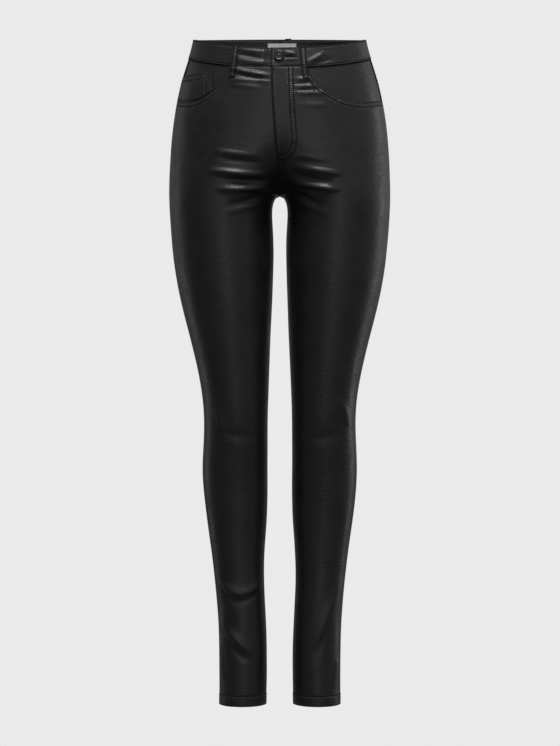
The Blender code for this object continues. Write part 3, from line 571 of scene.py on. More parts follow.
def build_film_group():
    """Mottled film: a colour, a roughness and a fine grain as a normal."""
    group, given, made = new_group(
        "coated_film",
        [("Dark", COLOUR, (0.010, 0.010, 0.011, 1)), ("Worn", COLOUR, (0.020, 0.020, 0.022, 1)),
         ("Roughness", FLOAT, 0.42), ("Unevenness", FLOAT, 0.16), ("Grain", FLOAT, 0.12),
         ("Grain Scale", FLOAT, 900.0)],
        [("Color", COLOUR), ("Roughness", FLOAT), ("Normal", VECTOR)],
    )
    place = group.nodes.new("ShaderNodeTexCoord").outputs["Object"]
    broad = add(group, "ShaderNodeTexNoise", [("Vector", place)], Scale=26.0, Detail=3.0)
    squash = add(group, "ShaderNodeMapping", [("Vector", place)])
    squash.inputs["Scale"].default_value = (0.22, 0.22, 1.0)
    cross = add(group, "ShaderNodeTexNoise", [("Vector", squash.outputs[0])], Scale=330.0, Detail=3.0)
    fine = add(group, "ShaderNodeTexNoise",
               [("Vector", place), ("Scale", given.outputs["Grain Scale"])], Detail=2.0)
    tone = add(group, "ShaderNodeMix", [("Factor", broad.outputs["Fac"]),
               (COLOUR_A, given.outputs["Dark"]), (COLOUR_B, given.outputs["Worn"])], data_type="RGBA")
    group.links.new(tone.outputs[COLOUR_RESULT], made.inputs["Color"])
    mottle = math_node(group, "ADD", broad.outputs["Fac"], cross.outputs["Fac"])
    spread = math_node(group, "SUBTRACT", mottle, 1.0)
    spread = math_node(group, "MULTIPLY", spread, given.outputs["Unevenness"])
    rough = math_node(group, "ADD", given.outputs["Roughness"], math_node(group, "MULTIPLY", spread, 2.0))
    group.links.new(rough, made.inputs["Roughness"])
    height = math_node(group, "MULTIPLY", cross.outputs["Fac"], 1.6)
    height = math_node(group, "ADD", fine.outputs["Fac"], height)
    bump = add(group, "ShaderNodeBump", [("Height", height), ("Strength", given.outputs["Grain"])])
    bump.inputs["Distance"].default_value = GRAIN_DEPTH
    group.links.new(bump.outputs[0], made.inputs["Normal"])
    return group


def bell(tree, distance, width):
    """One on a line and falling off beside it."""
    share = math_node(tree, "DIVIDE", distance, width)
    square = math_node(tree, "MULTIPLY", share, share)
    return math_node(tree, "EXPONENT", math_node(tree, "MULTIPLY", square, -1.0), 0)


def build_sewn_group():
    """Dimpled grooves along two sets of rows, with puckers beside them, and painted shade in the grooves and
    along the seams.

    Each set has a signed distance, which stays exact between mesh points, and a plain distance,
    which switches it off where the nearest row changes.
    """
    group, given, made = new_group(
        "sewn_groove",
        [("Width", FLOAT, 0.0010), ("Depth", FLOAT, 1.0), ("Pitch", FLOAT, PITCH),
         ("Pucker", FLOAT, 0.35), ("Normal", VECTOR, None)],
        [("Normal", VECTOR), ("Shade", FLOAT)],
    )

    def read(name):
        return add(group, "ShaderNodeAttribute", attribute_name=name).outputs["Fac"]

    groove, pucker = None, None
    for kind in ("a", "b"):
        near = math_node(group, "LESS_THAN", read("away_" + kind), GROOVE_REACH)
        line = math_node(group, "MULTIPLY", bell(group, read("beside_" + kind), given.outputs["Width"]), near)
        turns = math_node(group, "DIVIDE", read("along_" + kind), given.outputs["Pitch"])
        wave = math_node(group, "SINE", math_node(group, "MULTIPLY", turns, 2 * math.pi), 0)
        wide = bell(group, read("away_" + kind), PUCKER_REACH)
        wave = math_node(group, "MULTIPLY", wave, wide)
        groove = line if groove is None else math_node(group, "MAXIMUM", groove, line)
        pucker = wave if pucker is None else math_node(group, "ADD", pucker, wave)
    pucker = math_node(group, "MULTIPLY", pucker, given.outputs["Pucker"])
    height = math_node(group, "SUBTRACT", pucker, groove)
    bump = add(group, "ShaderNodeBump", [("Height", height), ("Strength", given.outputs["Depth"]),
               ("Normal", given.outputs["Normal"])])
    bump.inputs["Distance"].default_value = GROOVE_DEPTH
    # Painted shade: near a piece's edge and in a groove the Shade output darkens the base colour, standing in
    # for the shade there.
    seam = bell(group, read("edge"), SEAM_SHADE)
    group.links.new(bump.outputs[0], made.inputs["Normal"])
    group.links.new(math_node(group, "MAXIMUM", groove, seam), made.inputs["Shade"])
    return group


FILM = build_film_group()
SEWN = build_sewn_group()
print("node groups:", FILM.name, SEWN.name)

# %% [markdown]
# Each material is the film with its own colours and roughness, and the groove over it, whose painted shade
# darkens the base colour in the grooves and along the seams. The coated face has a thin clear coat, and
# the inside is plain twill, rough and without a coat.

# %% Materials
def filmed(name, dark, worn, roughness, grain, scale):
    """A material with the film group in it, not linked yet: material, shader and group node."""
    material = bpy.data.materials.new(name)
    material.use_nodes = True
    film = add(material.node_tree, "ShaderNodeGroup", node_tree=FILM)
    settings = {"Dark": (*dark, 1), "Worn": (*worn, 1), "Roughness": roughness, "Grain": grain,
                "Grain Scale": scale}
    for socket, value in settings.items():
        film.inputs[socket].default_value = value
    return material, material.node_tree.nodes["Principled BSDF"], film


# Painted shade: seams and stitch grooves are darkened to near black in the base colour, with a rougher
# surface there.
PAINTED_SEAM_SHADE, SEAM_ROUGH, PAINTED_SHADE_SHARE = (0.0006, 0.0006, 0.0006, 1), 0.95, 0.9


def cloth_material(name, dark, worn, roughness, grain, coat, sheen, scale=900.0):
    material, shader, film = filmed(name, dark, worn, roughness, grain, scale)
    tree = material.node_tree
    sewn = add(tree, "ShaderNodeGroup", [("Normal", film.outputs["Normal"])], node_tree=SEWN)
    shade = math_node(tree, "MULTIPLY", sewn.outputs["Shade"], PAINTED_SHADE_SHARE)
    painted_seam_shade = add(tree, "ShaderNodeMix", [("Factor", shade), (COLOUR_A, film.outputs["Color"])],
                    data_type="RGBA")
    painted_seam_shade.inputs[COLOUR_B].default_value = PAINTED_SEAM_SHADE
    rough_seam = add(tree, "ShaderNodeMix", [("Factor", shade), ("A", film.outputs["Roughness"])],
                     B=SEAM_ROUGH)
    for socket, source in (("Base Color", painted_seam_shade.outputs[COLOUR_RESULT]),
                           ("Roughness", rough_seam.outputs[0]), ("Normal", sewn.outputs["Normal"])):
        tree.links.new(source, shader.inputs[socket])
    for socket, value in (("Coat Weight", coat), ("Coat Roughness", 0.35), ("Sheen Weight", sheen),
                          ("Sheen Roughness", 0.5)):
        shader.inputs[socket].default_value = value
    return material


COATED = cloth_material(
    "coated_twill_film", (0.008, 0.008, 0.0085), (0.015, 0.015, 0.016), 0.39, 0.55, 0.12, 0.02)
INSIDE = cloth_material("twill_inside", (0.012, 0.012, 0.013), (0.022, 0.022, 0.024), 0.85, 0.5, 0.0, 0.1)
THREAD = cloth_material("thread", (0.010, 0.010, 0.010), (0.018, 0.018, 0.018), 0.6, 0.2, 0.0, 0.1, 2500.0)
LABEL = cloth_material("label_weave_cloth", (0.78, 0.78, 0.77), (0.86, 0.86, 0.85), 0.8, 0.4, 0.0, 0.2)


def metal_material():
    material, shader, film = filmed(
        "gunmetal", (0.030, 0.030, 0.032), (0.085, 0.085, 0.088), 0.34, 0.1, 1800.0)
    for source, socket in (("Color", "Base Color"), ("Roughness", "Roughness"), ("Normal", "Normal")):
        material.node_tree.links.new(film.outputs[source], shader.inputs[socket])
    shader.inputs["Metallic"].default_value = 0.9
    return material


METAL = metal_material()
print("materials:", [m.name for m in (COATED, INSIDE, THREAD, LABEL, METAL)])

# %% [markdown]
# Making cloth. Each pattern piece becomes a grid of points on the form, dense enough for its
# folds, and Solidify gives it the thickness of the twill towards the inside. The edges roll in
# by the turn of the cloth, so that a seam reads as a soft groove between two pieces.

# %% Cloth builder
TWILL = 0.0009
SEAM_TRIM = -0.00012  # neighbours meet a little inside each other, so no light comes through
ROLL = 0.0016  # how far from a seam the cloth starts to roll in
ROLL_DEPTH = 0.0008
FAR = 0.02  # distances to a row or an edge are capped at this
LEG_MIDDLE = 0.06  # about the middle of a leg, to tell its inside from its outside
ROWS = {}  # by piece: each row's kind, points, directions across it and travel along it


def grid_mesh(name, points, material, wall, fields):
    """A cloth sheet from a grid of points, its outer face on them."""
    rows, columns = points.shape[:2]
    mesh = bpy.data.meshes.new(name)
    index = np.arange(rows * columns).reshape(rows, columns)
    quads = np.stack([index[:-1, :-1], index[1:, :-1], index[1:, 1:], index[:-1, 1:]], axis=-1).reshape(-1, 4)
    centre = points.reshape(-1, 3)
    a, b, c = centre[quads[:, 0]], centre[quads[:, 1]], centre[quads[:, 3]]
    facing = np.cross(b - a, c - a)
    middle = (a + b + c) / 3
    leg = np.where(middle[:, 2] < CROTCH, np.sign(middle[:, 0]) * LEG_MIDDLE, 0.0)
    outwards = middle - np.stack([leg, np.zeros(len(leg)), middle[:, 2]], axis=-1)
    if (facing * outwards).sum() < 0:
        quads = quads[:, ::-1]
    mesh.from_pydata(centre.tolist(), [], quads.tolist())
    mesh.shade_smooth()
    for key, values in fields.items():
        mesh.attributes.new(key, "FLOAT", "POINT").data.foreach_set("value", values)
    mesh.materials.append(material)
    piece = show(name, mesh)
    thick = piece.modifiers.new("cloth", "SOLIDIFY")
    thick.thickness, thick.offset, thick.use_even_offset = wall, -1.0, False
    return piece

# %% Distances that the groove shader reads
def nearest(points, targets):
    """For each point, the number of the nearest target and its distance."""
    tree = kdtree.KDTree(len(targets))
    for i, target in enumerate(targets):
        tree.insert(target, i)
    tree.balance()
    found = [tree.find(point)[1:] for point in points]
    return np.array([i for i, _ in found]), np.minimum([d for _, d in found], FAR)


def sewing_fields(points, rows):
    """What the groove shader reads at each point: see build_sewn_group."""
    flat = points.reshape(-1, 3)
    fields = {}
    for kind in ("a", "b"):
        chosen = [item for item in rows if item[0] == kind]
        away = np.full(len(flat), FAR)
        fields.update({"away_" + kind: away, "beside_" + kind: away, "along_" + kind: 0 * away})
        if chosen:
            line, across, along = (np.concatenate([item[i] for item in chosen]) for i in (1, 2, 3))
            index, away = nearest(flat, line)
            beside = ((flat - line[index]) * across[index]).sum(axis=-1)
            fields["away_" + kind] = away
            fields["beside_" + kind] = beside
            fields["along_" + kind] = along[index]
    edges = (points[0], points[-1], points[:, 0], points[:, -1])
    border = np.concatenate([even_rows(edge) for edge in edges])
    fields["edge"] = nearest(flat, border)[1]
    return fields


def finish_cloth(node, points, material=COATED, wall=TWILL):
    piece = grid_mesh(node + "_cloth", points, material, wall, sewing_fields(points, ROWS.get(node, ())))
    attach(piece, "root")
    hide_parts(node)


def even_rows(points, step=0.0008):
    """Points resampled evenly along a line."""
    gaps = np.linalg.norm(np.diff(points, axis=0), axis=1)
    travel = np.concatenate([[0], np.cumsum(gaps)])
    count = max(int(travel[-1] / step), 2)
    wanted = np.linspace(0, travel[-1], count)
    return np.stack([np.interp(wanted, travel, points[:, i]) for i in range(3)], axis=-1)


def spaced(spans):
    """Values from spans of (end, step), starting at the first."""
    start = spans[0][0]
    found = [np.array([start])]
    for end, step in spans[1:]:
        count = max(int(round(abs(end - start) / step)), 1)
        found.append(np.linspace(start, end, count + 1)[1:])
        start = end
    return np.concatenate(found)


def edge_roll(distance):
    """How far the outer face sinks near a seam."""
    return -ROLL_DEPTH * (1 - ease(distance / ROLL)) ** 2


FLY_LIFT = 0.0010


def fly_lift(side, turn, z, to_inner):
    if side == RIGHT:
        return np.zeros(np.shape(z))
    inside_fly = ease((FLY_WIDTH - to_inner) / 0.0035)
    return FLY_LIFT * inside_fly * ease((z - FLY_BOTTOM + 0.006) / 0.010)


print("cloth builder ready")

# %% [markdown]
# Stitching. Every topstitched row follows a seam at a set distance, because the presser foot
# runs along the edge. A stitch is a short thread that bows out of the cloth and dips back into
# its needle holes, so a row reads as a dotted line in a soft groove. Bartacks are packed
# crosswise stitches that hold the ends of pockets, fly and loops.

# %% Stitch rows
THREAD_RADIUS = 0.00030
EDGE_ROW, SECOND_ROW = 0.0016, 0.0078
PAIR = (("a", EDGE_ROW), ("b", SECOND_ROW))  # the two rows of a double seam
BAND_ROW = 0.0018
ROW_STEP = 0.0008
TACK_LENGTH, TACK_STEP = 0.0075, 0.0005
Row = namedtuple("Row", "piece side turn z out folded")
STITCHED = []
TACKS = []


def offset_path(turn, z, distance):
    """A path moved sideways on the cloth, to its left as it runs."""
    across = degrees_for(1.0, turn, z)
    flat = turn / across
    slope = np.gradient(flat), np.gradient(z)
    size = np.hypot(*slope)
    return (flat - slope[1] / size * distance) * across, z + slope[0] / size * distance


def with_outward(side, turn, z, out, folded):
    """Points on the cloth, and short steps straight out of it. out is a number or a function."""
    lift = out(turn, z) if callable(out) else out
    points = on_form(side, turn, z, lift, folded)
    return points, on_form(side, turn, z, lift + NUDGE, folded) - points


def row(piece, kind, side, turn, z, out=0.0, folded=True):
    """Registers a row of stitches, and its line for the groove in the cloth.

    Rows close to each other are of two kinds, a and b, so that the shader can tell them apart.
    """
    turn, z = np.broadcast_arrays(np.asarray(turn, float), np.asarray(z, float))
    points = with_outward(side, turn, z, out, folded)[0]
    travel = np.concatenate([[0], np.cumsum(np.linalg.norm(np.diff(points, axis=0), axis=1))])
    wanted = np.arange(0, travel[-1], ROW_STEP)
    turn, z = np.interp(wanted, travel, turn), np.interp(wanted, travel, z)
    STITCHED.append(Row(piece, side, turn, z, out, folded))
    points, straight_out = with_outward(side, turn, z, out, folded)
    across = np.cross(straight_out, np.gradient(points, axis=0))
    across /= np.linalg.norm(across, axis=-1, keepdims=True)
    ROWS.setdefault(piece, []).append((kind, points, across, wanted))


def tack(piece, side, turn, z, length, lean, out=0.0, folded=True):
    """A bartack, length long, its own line at an angle of lean degrees to level."""
    across = degrees_for(1.0, turn, z)
    steps = np.linspace(-0.5, 0.5, max(int(length / TACK_STEP), 2))
    c, s = math.cos(math.radians(lean)), math.sin(math.radians(lean))
    TACKS.append((piece, side, turn + steps * length * c * across, z + steps * length * s, lean, out, folded))


FLY_ROW_TOP, FLY_ROW_FOOT = -0.0415, -0.1833
CURVE = 2 / 2.6  # how square the row's turn at the fly's foot is


def fly_row(distance, bottom, top=FLY_ROW_TOP):
    """Beside the fly's edge, straight down."""
    z = np.linspace(top, bottom, 160)
    return turn_at_x(fly_edge_x(z) + distance, z, FRONT), z


def curved_row(distance, foot=FLY_ROW_FOOT, bend=-0.150):
    """The row that holds the fly's facing: down, then round to the fly's edge."""
    z = np.linspace(FLY_ROW_TOP, bend, 90)
    x = fly_edge_x(z) + distance
    angle = np.linspace(0, math.pi / 2, 60)[1:]
    start, end = x[-1], -0.003
    x = np.concatenate([x, end + (start - end) * np.cos(angle) ** CURVE])
    z = np.concatenate([z, bend + (foot - bend) * np.sin(angle) ** CURVE])
    return turn_at_x(x, z, FRONT), z


def fly_out(turn, z):
    inner = fly_edge(LEFT, z)
    return fly_lift(LEFT, turn, z, np.abs(turn - inner) / degrees_for(1.0, turn, z))

# %% Place the rows and tacks
row("front_left", "b", LEFT, *fly_row(0.0014, -0.229), fly_out)
row("front_left", "a", LEFT, *fly_row(0.0070, -0.229, -0.1835), fly_out)
row("front_left", "a", LEFT, *curved_row(0.0330), fly_out)
row("front_left", "b", LEFT, *curved_row(0.0262, -0.1765, -0.148), fly_out)
for z in (-0.1545, -0.1585):
    tack("front_left", LEFT, turn_at_x(fly_edge_x(z) + 0.0298, z, FRONT), z, TACK_LENGTH, 0, fly_out)
tack("front_left", LEFT, turn_at_x(0.0, FLY_ROW_FOOT, FRONT), FLY_ROW_FOOT, TACK_LENGTH, 0, fly_out)

for side, word in BOTH:
    front, back, band, yoke = ("_".join((part, word)) for part in ("front", "back", "waistband", "yoke"))
    seam = at("seam", SCOOP_SIDE)
    share = 1 - np.linspace(0, 1, 200) ** 2.5
    turn = mix(seam, MOUTH[side].turn, share * 0.9999)
    z = scoop(side, turn)
    for kind, distance in PAIR:
        moved = offset_path(turn, z, -distance)
        keep = (moved[1] < band_seam(moved[0])) & (moved[0] < seam)
        row(front, kind, side, moved[0][keep], moved[1][keep])
    tack(front, side, MOUTH[side].turn - 2.0, band_seam(MOUTH[side].turn) - 0.006, TACK_LENGTH, 60)
    level = np.linspace(-90, 90, 600)
    turn = {LEFT: level[level > turn_at_x(BAND_END + 0.002, -0.025, FRONT)],
            RIGHT: level[level > turn_at_x(-BAND_END, -0.025, FRONT) + 1]}[side]
    turn = turn[turn < turn_at_middle(band_seam(90.0), BACK) - 0.5]
    row(band, "a", side, turn, band_top(turn) - BAND_ROW, BAND_PROUD)
    row(band, "b", side, turn, band_seam(turn) + BAND_ROW, BAND_PROUD)
    turn = np.linspace(at("seam", YOKE_SIDE) + 0.5, turn_at_middle(yoke_seam(90.0), BACK) - 0.5, 200)
    for kind, distance in PAIR:
        row(yoke, kind, side, turn, yoke_seam(turn) + distance)
    for panel, face in ((front, FRONT), (back, BACK)):
        around = np.linspace(inseam_turn(side, HEM, face), at("seam", HEM), 200)
        row(panel, "a", side, around, HEM + HEM_DEPTH)

z = np.linspace(BAND_HEIGHT * 0.06, BAND_HEIGHT * 0.94, 20)
turn = turn_at_x(BAND_END + 0.0022, band_seam(-90.0) + z, FRONT)
row("waistband_left", "a", LEFT, turn, band_seam(turn) + z, BAND_PROUD)

# The buttonhole is a slit with close stitches along both lips, from the button inwards.
x, z = np.linspace(0.0062, 0.0248, 40), np.linspace(-0.0229, -0.0243, 40)
row("waistband_left", "b", LEFT, turn_at_x(x, -0.0236, FRONT), z, BAND_PROUD)
for lip in (-0.0012, 0.0012):
    tack("waistband_left", LEFT, turn_at_x(0.0168, -0.0236, FRONT), -0.0237 + lip, 0.0160, -4, BAND_PROUD)

z = np.linspace(-0.078, -0.226, 200)
for kind, distance in PAIR:
    row("back_left", kind, LEFT, turn_at_x(distance, z, BACK), z)
print(len(STITCHED), "rows of stitches,", len(TACKS), "bartacks")

# %% [markdown]
# Leg panels. Two fronts and two backs make the legs and seat. The fronts are cut away at the
# pocket mouths, and the left front laps over the right along the fly.

# %% Leg panels
SETTLED = -0.125  # below this height a panel's rows of points are level


def crotch_dense(zs):
    """Adds heights close together at the crotch, where the form turns level."""
    extra = [CROTCH + s * 0.010 * (i / 8) ** 2 for s in (1, -1) for i in range(1, 8)]
    return np.sort(np.unique(np.concatenate([zs, extra, [CROTCH]])))[::-1]


HEIGHTS = crotch_dense(spaced([
    (SETTLED, 0), (-0.270, 0.0023), (-0.540, 0.0050), (-0.650, 0.0032), (-0.815, 0.0050),
    (-1.016, 0.0030), (HEM + 0.0185, 0.0030), (HEM + 0.0135, 0.0008), (HEM, 0.0022)]))
TOP_SLOPE = 0.75  # a height below the sloping top edge, as a distance from it


def panel_points(side, face, shares, top_rows, top_of, lift_of):
    upper = np.unique(np.concatenate([[0, 0.010, 0.022, 0.040], np.linspace(0.06, 1, top_rows)[:-1]]))
    tops = np.full(len(shares), -0.05)
    for _ in range(25):
        turn = steady_turn(side, face, shares, tops)
        tops = mix(tops, top_of(turn) - SEAM_TRIM, 0.7)
    above = mix(tops[None, :], SETTLED, upper[:, None])
    z = np.concatenate([above, np.repeat(HEIGHTS[:, None], len(shares), axis=1)])
    wide = np.broadcast_to(shares, z.shape)
    turn = steady_turn(side, face, wide, z)
    inner, outer = (front_edges if face == FRONT else back_edges)(side, z)
    per_degree = 1 / degrees_for(1.0, turn, z)
    to_outer = np.abs(outer - turn) * per_degree
    to_inner = np.abs(turn - inner) * per_degree
    turn = turn + np.sign(outer - inner) * degrees_for(SEAM_TRIM, turn, z) * (1 - 2 * wide)
    lift = lift_of(side, turn, z, to_inner)
    to_top = np.maximum(tops - z, 0) * TOP_SLOPE
    lift = lift + edge_roll(to_outer) + edge_roll(to_inner) + edge_roll(to_top)
    return on_form(side, turn, z, lift)


def hem_lift(side, turn, z, to_inner):
    """The turned-up hem is a little thicker than the leg."""
    return 0.0005 * ease((HEM + HEM_DEPTH - z) / 0.0015)


def front_lift(side, turn, z, to_inner):
    return fly_lift(side, turn, z, to_inner) + hem_lift(side, turn, z, to_inner)


def shares_with(edges, count):
    """Column places, close at the two seams."""
    close = np.array([0, 0.003, 0.006, 0.011])
    return np.unique(np.concatenate([close, np.linspace(0.02, 0.98, count), 1 - close, edges]))


def front_top(side):
    return lambda turn: np.minimum(band_seam(turn), scoop(side, turn))


def mouth_share(side):
    z = band_seam(MOUTH[side].turn)
    inner, outer = front_edges(side, np.array([z]))
    return float(((MOUTH[side].turn - inner) / (outer - inner))[0])


PANELS = {}
for side, word in BOTH:
    mouth = mouth_share(side)
    close = mouth + (1 - mouth) * np.array([0, 0.004, 0.012, 0.025, 0.045, 0.07])
    PANELS["front_" + word] = panel_points(
        side, FRONT, shares_with(close, 52), 34, front_top(side), front_lift)
    PANELS["back_" + word] = panel_points(
        side, BACK, shares_with([], 52), 24, yoke_seam, hem_lift)
for name, points in PANELS.items():
    finish_cloth(name, points)
print("panel grids:", {name: points.shape[:2] for name, points in PANELS.items()})

# %% [markdown]
# Waistband and yokes. The band is a straight strip folded along its top edge, so it has no seam
# there. Its left end laps over the right one and holds the buttonhole.

# %% Patches on the form
def patch_points(side, across, down, turn_of, height_of, out_of, folded=True):
    """Points of a four-sided piece, for u across from 0 to 1 and v down from 0 to 1."""
    u, v = np.meshgrid(across, down)
    turn = turn_of(u, v)
    z = height_of(u, v, turn)
    return on_form(side, turn, z, out_of(turn, z, u, v), folded)


def even(count):
    return np.linspace(0, 1, count + 1)


def close_edges(count, edge=0.02):
    return np.unique(np.concatenate([[0, edge / 3, edge, 1 - edge, 1 - edge / 3, 1], even(count)]))


def rolled(u, v, width, height, radius=0.0012, depth=0.0006):
    """Sinks a patch's outer face along its edges."""
    away = np.minimum(np.minimum(u, 1 - u) * width, np.minimum(v, 1 - v) * height) / radius
    return -depth * (1 - np.clip(away, 0, 1)) ** 2


BAND_LENGTH, BAND_WALL, BAND_SINK, SINK_TURNS = 0.43, 0.0024, 0.0031, 4.0
YOKE_LENGTH, YOKE_DEPTH = 0.22, 0.05
BAND_LAP = 0.0004  # the band's foot covers the seam, so that no light gets through
MIDDLE_LAP = 0.0002  # each half of the band and yoke passes the centre back by this, for the same reason


def band_out(side, turn, step_end):
    """The right half's hidden end is sunk under the buttoned end."""
    if side == RIGHT:
        return BAND_PROUD - BAND_SINK * ease((step_end + SINK_TURNS - turn) / SINK_TURNS)
    return BAND_PROUD + 0 * turn


def build_band(side, word):
    middle = band_seam(-90.0) + BAND_HEIGHT / 2
    step_end = turn_at_x(-BAND_END, middle, FRONT) + 0.6
    start = turn_at_x(BAND_END, middle, FRONT) if side == LEFT else turn_at_x(-0.022, middle, FRONT)

    def turn_of(u, v):
        back_end = turn_at_x(-MIDDLE_LAP, band_top(90.0) - v * BAND_HEIGHT, BACK)
        return mix(start, back_end, u)

    def height_of(u, v, turn):
        return band_top(turn) - v * (BAND_HEIGHT + BAND_LAP)

    def out_of(turn, z, u, v):
        return band_out(side, turn, step_end) + rolled(u, v, BAND_LENGTH, BAND_HEIGHT)

    points = patch_points(side, close_edges(220, 0.003), close_edges(16, 0.05), turn_of, height_of, out_of)
    finish_cloth("waistband_" + word, points, wall=BAND_WALL)


def yoke_height(turn, v):
    return mix(band_seam(turn) - SEAM_TRIM, yoke_seam(turn) + SEAM_TRIM, v)


def yoke_middle(v):
    """The turn of the centre back seam. Lower down it lies further round, so it is found in steps."""
    turn = np.full(np.shape(v), 90.0)
    for _ in range(20):
        turn = turn_at_x(-MIDDLE_LAP, yoke_height(turn, v), BACK)
    return turn


def build_yoke(side, word):
    def turn_of(u, v):
        start = at("seam", mix(band_seam(0.0), YOKE_SIDE, v)) + 0.1
        return mix(start, yoke_middle(v), u)

    points = patch_points(side, close_edges(100, 0.006), close_edges(30, 0.03), turn_of,
                          lambda u, v, turn: yoke_height(turn, v),
                          lambda turn, z, u, v: rolled(u, v, YOKE_LENGTH, YOKE_DEPTH))
    finish_cloth("yoke_" + word, points)


for side, word in BOTH:
    build_band(side, word)
    build_yoke(side, word)

# %% [markdown]
# Pockets. Each curved mouth shows the facing behind it, and the right one holds the small coin
# pocket. The back has two plain patch pockets with a pointed foot.

# %% Pockets
COIN_TOP, COIN_TURNS, COIN_CLEAR = -0.0445, (-49.3, -53.5), 0.0018
COIN_WIDTH, COIN_DEPTH = 0.07, 0.035
POCKET_TOP, POCKET_WIDTH, POCKET_FOOT_WIDTH = -0.092, 0.122, 0.104
POCKET_SIDE, POCKET_POINT, POCKET_TURN = 0.112, 0.132, 58.0
FACING_OUT, COIN_OUT, POCKET_OUT = -0.0020, -0.0004, 0.0017  # from the outer face of the panels


def level_at(out):
    """A patch that keeps one distance from the form."""
    return lambda turn, z, u, v: out + 0 * u


def build_facing(side, word):
    corner = MOUTH[side].turn
    foot = SCOOP_SIDE - MOUTH[side].sag - 0.014

    def turn_of(u, v):
        return mix(corner - 5, at("seam", -0.06) - 0.1, u)

    def height_of(u, v, turn):
        return mix(band_seam(turn) - SEAM_TRIM, foot, v)

    points = patch_points(side, even(70), even(30), turn_of, height_of, level_at(FACING_OUT), False)
    finish_cloth("pocket_facing_" + word, points)


def coin_turn(u, v):
    return mix(mix(*COIN_TURNS, v), at("seam", COIN_TOP) - 0.6, u)


def coin_height(u, v, turn):
    return mix(COIN_TOP, scoop(RIGHT, turn) + COIN_CLEAR, v)


def build_coin_pocket():
    points = patch_points(RIGHT, close_edges(40), close_edges(20), coin_turn, coin_height,
                          lambda t, z, u, v: COIN_OUT + rolled(u, v, COIN_WIDTH, COIN_DEPTH), False)
    finish_cloth("coin_pocket", points)


def pocket_turn(u, v):
    width = mix(POCKET_WIDTH, POCKET_FOOT_WIDTH, v)
    span = degrees_for(width, POCKET_TURN, POCKET_TOP - POCKET_SIDE / 2)
    return POCKET_TURN + span * (u - 0.5)


def pocket_height(u, v, turn):
    length = mix(POCKET_SIDE, POCKET_POINT, 1 - np.abs(2 * u - 1))
    return POCKET_TOP + 0.006 * (0.5 - u) - length * v


def build_back_pocket(side, word):
    points = patch_points(side, close_edges(60, 0.012), close_edges(60, 0.012), pocket_turn, pocket_height,
                          lambda t, z, u, v: POCKET_OUT + rolled(u, v, POCKET_WIDTH, POCKET_POINT))
    finish_cloth("back_pocket_" + word, points)


def sew_patch(piece, side, turn_of, height_of, lines, out, folded=True):
    """Sews straight lines on a patch, each between two corners given as (u, v)."""
    share = np.linspace(0, 1, 60)
    for kind, start, end in lines:
        u, v = mix(start[0], end[0], share), mix(start[1], end[1], share)
        turn = turn_of(u, v)
        row(piece, kind, side, turn, height_of(u, v, turn), out, folded)


for side, word in BOTH:
    build_facing(side, word)
    lines = []
    for kind, inset in PAIR:
        u, v = inset / POCKET_WIDTH, 1 - inset * 1.08 / POCKET_POINT
        for start in (u, 1 - u):
            lines += [(kind, (start, 0.004), (start, v)), (kind, (start, v), (0.5, v))]
    lines.append(("a", (0.0, 0.105), (1.0, 0.105)))
    sew_patch("back_pocket_" + word, side, pocket_turn, pocket_height, lines, POCKET_OUT)
    build_back_pocket(side, word)
    for u in (0.035, 0.965):
        turn = float(pocket_turn(np.array(u), np.array(0.0)))
        z = float(pocket_height(u, 0.02, turn))
        tack("back_pocket_" + word, side, turn, z, TACK_LENGTH, 0, POCKET_OUT)
for_coin = [("a", (0.02, 0.05), (1.0, 0.05)), ("b", (0.02, 0.24), (1.0, 0.24)),
            ("a", (0.024, 0.02), (0.024, 1.0)), ("b", (0.115, 0.04), (0.115, 1.0))]
sew_patch("coin_pocket", RIGHT, coin_turn, coin_height, for_coin, COIN_OUT, False)
build_coin_pocket()

# %% [markdown]
# Behind the fly, from the outside in: the facing that the curved row holds, the zip's tape, and
# the shield, which steps back so that the zip has room.

# %% Fly
FLY_TOP = -0.0403


def fly_piece(name, from_edge, to_edge, bottom, depth, material, wall):
    def turn_of(u, v):
        z = mix(FLY_TOP, bottom, v)
        return turn_at_x(fly_edge_x(z) + mix(from_edge, to_edge(v), u), z, FRONT)

    points = patch_points(LEFT, even(16), even(60), turn_of, lambda u, v, t: mix(FLY_TOP, bottom, v),
                          lambda t, z, u, v: depth(t, z), False)
    finish_cloth(name, points, material=material, wall=wall)


def rounded_foot(v):
    bend = np.clip((v - 0.75) / 0.25, 0, 1)
    return mix(0.006, FLY_WIDTH, np.sqrt(1 - bend**2))


def shield_face(turn, z):
    from_edge = on_form(LEFT, turn, z)[..., 0] - fly_edge_x(z)
    return -mix(0.0025, 0.00695, ease((from_edge + 0.021) / 0.012))


fly_piece("fly_facing", 0.001, rounded_foot, FLY_BOTTOM, lambda t, z: -0.0020 + 0 * t,
          INSIDE, 0.0009)
fly_piece("zip_tape", -0.001, lambda v: 0.023 + 0 * v, -0.162, lambda t, z: -0.0054 + 0 * t,
          THREAD, 0.0007)
fly_piece("fly_shield", -0.024, lambda v: mix(0.026, 0.014, ease(v * 1.2 - 0.2)), -0.172, shield_face,
          INSIDE, 0.0010)

# %% [markdown]
# Belt loops, button and label. A loop is a strip folded in three, sewn along both edges and
# tacked at its ends. The button is a turned metal cap on a short shank.

# %% Belt loops
LOOP_WIDTH, LOOP_TAIL, LOOP_BOW, LOOP_WALL = 0.0095, 0.020, 0.0018, 0.0011
LOOP_ROW = 0.16  # where its rows run, as a share of its width
Loop = namedtuple("Loop", "name side top_turn foot_turn head")
LOOPS = [
    Loop("belt_loop_front_left", LEFT, -76.7, -78.4, 0.0),
    Loop("belt_loop_front_right", RIGHT, -62.7, -64.7, 0.0),
    Loop("belt_loop_side_left", LEFT, 18.0, 17.0, 0.0),
    Loop("belt_loop_side_right", RIGHT, 18.0, 17.0, 0.0),
    Loop("belt_loop_back", LEFT, 84.4, 88.5, 0.0015),
]


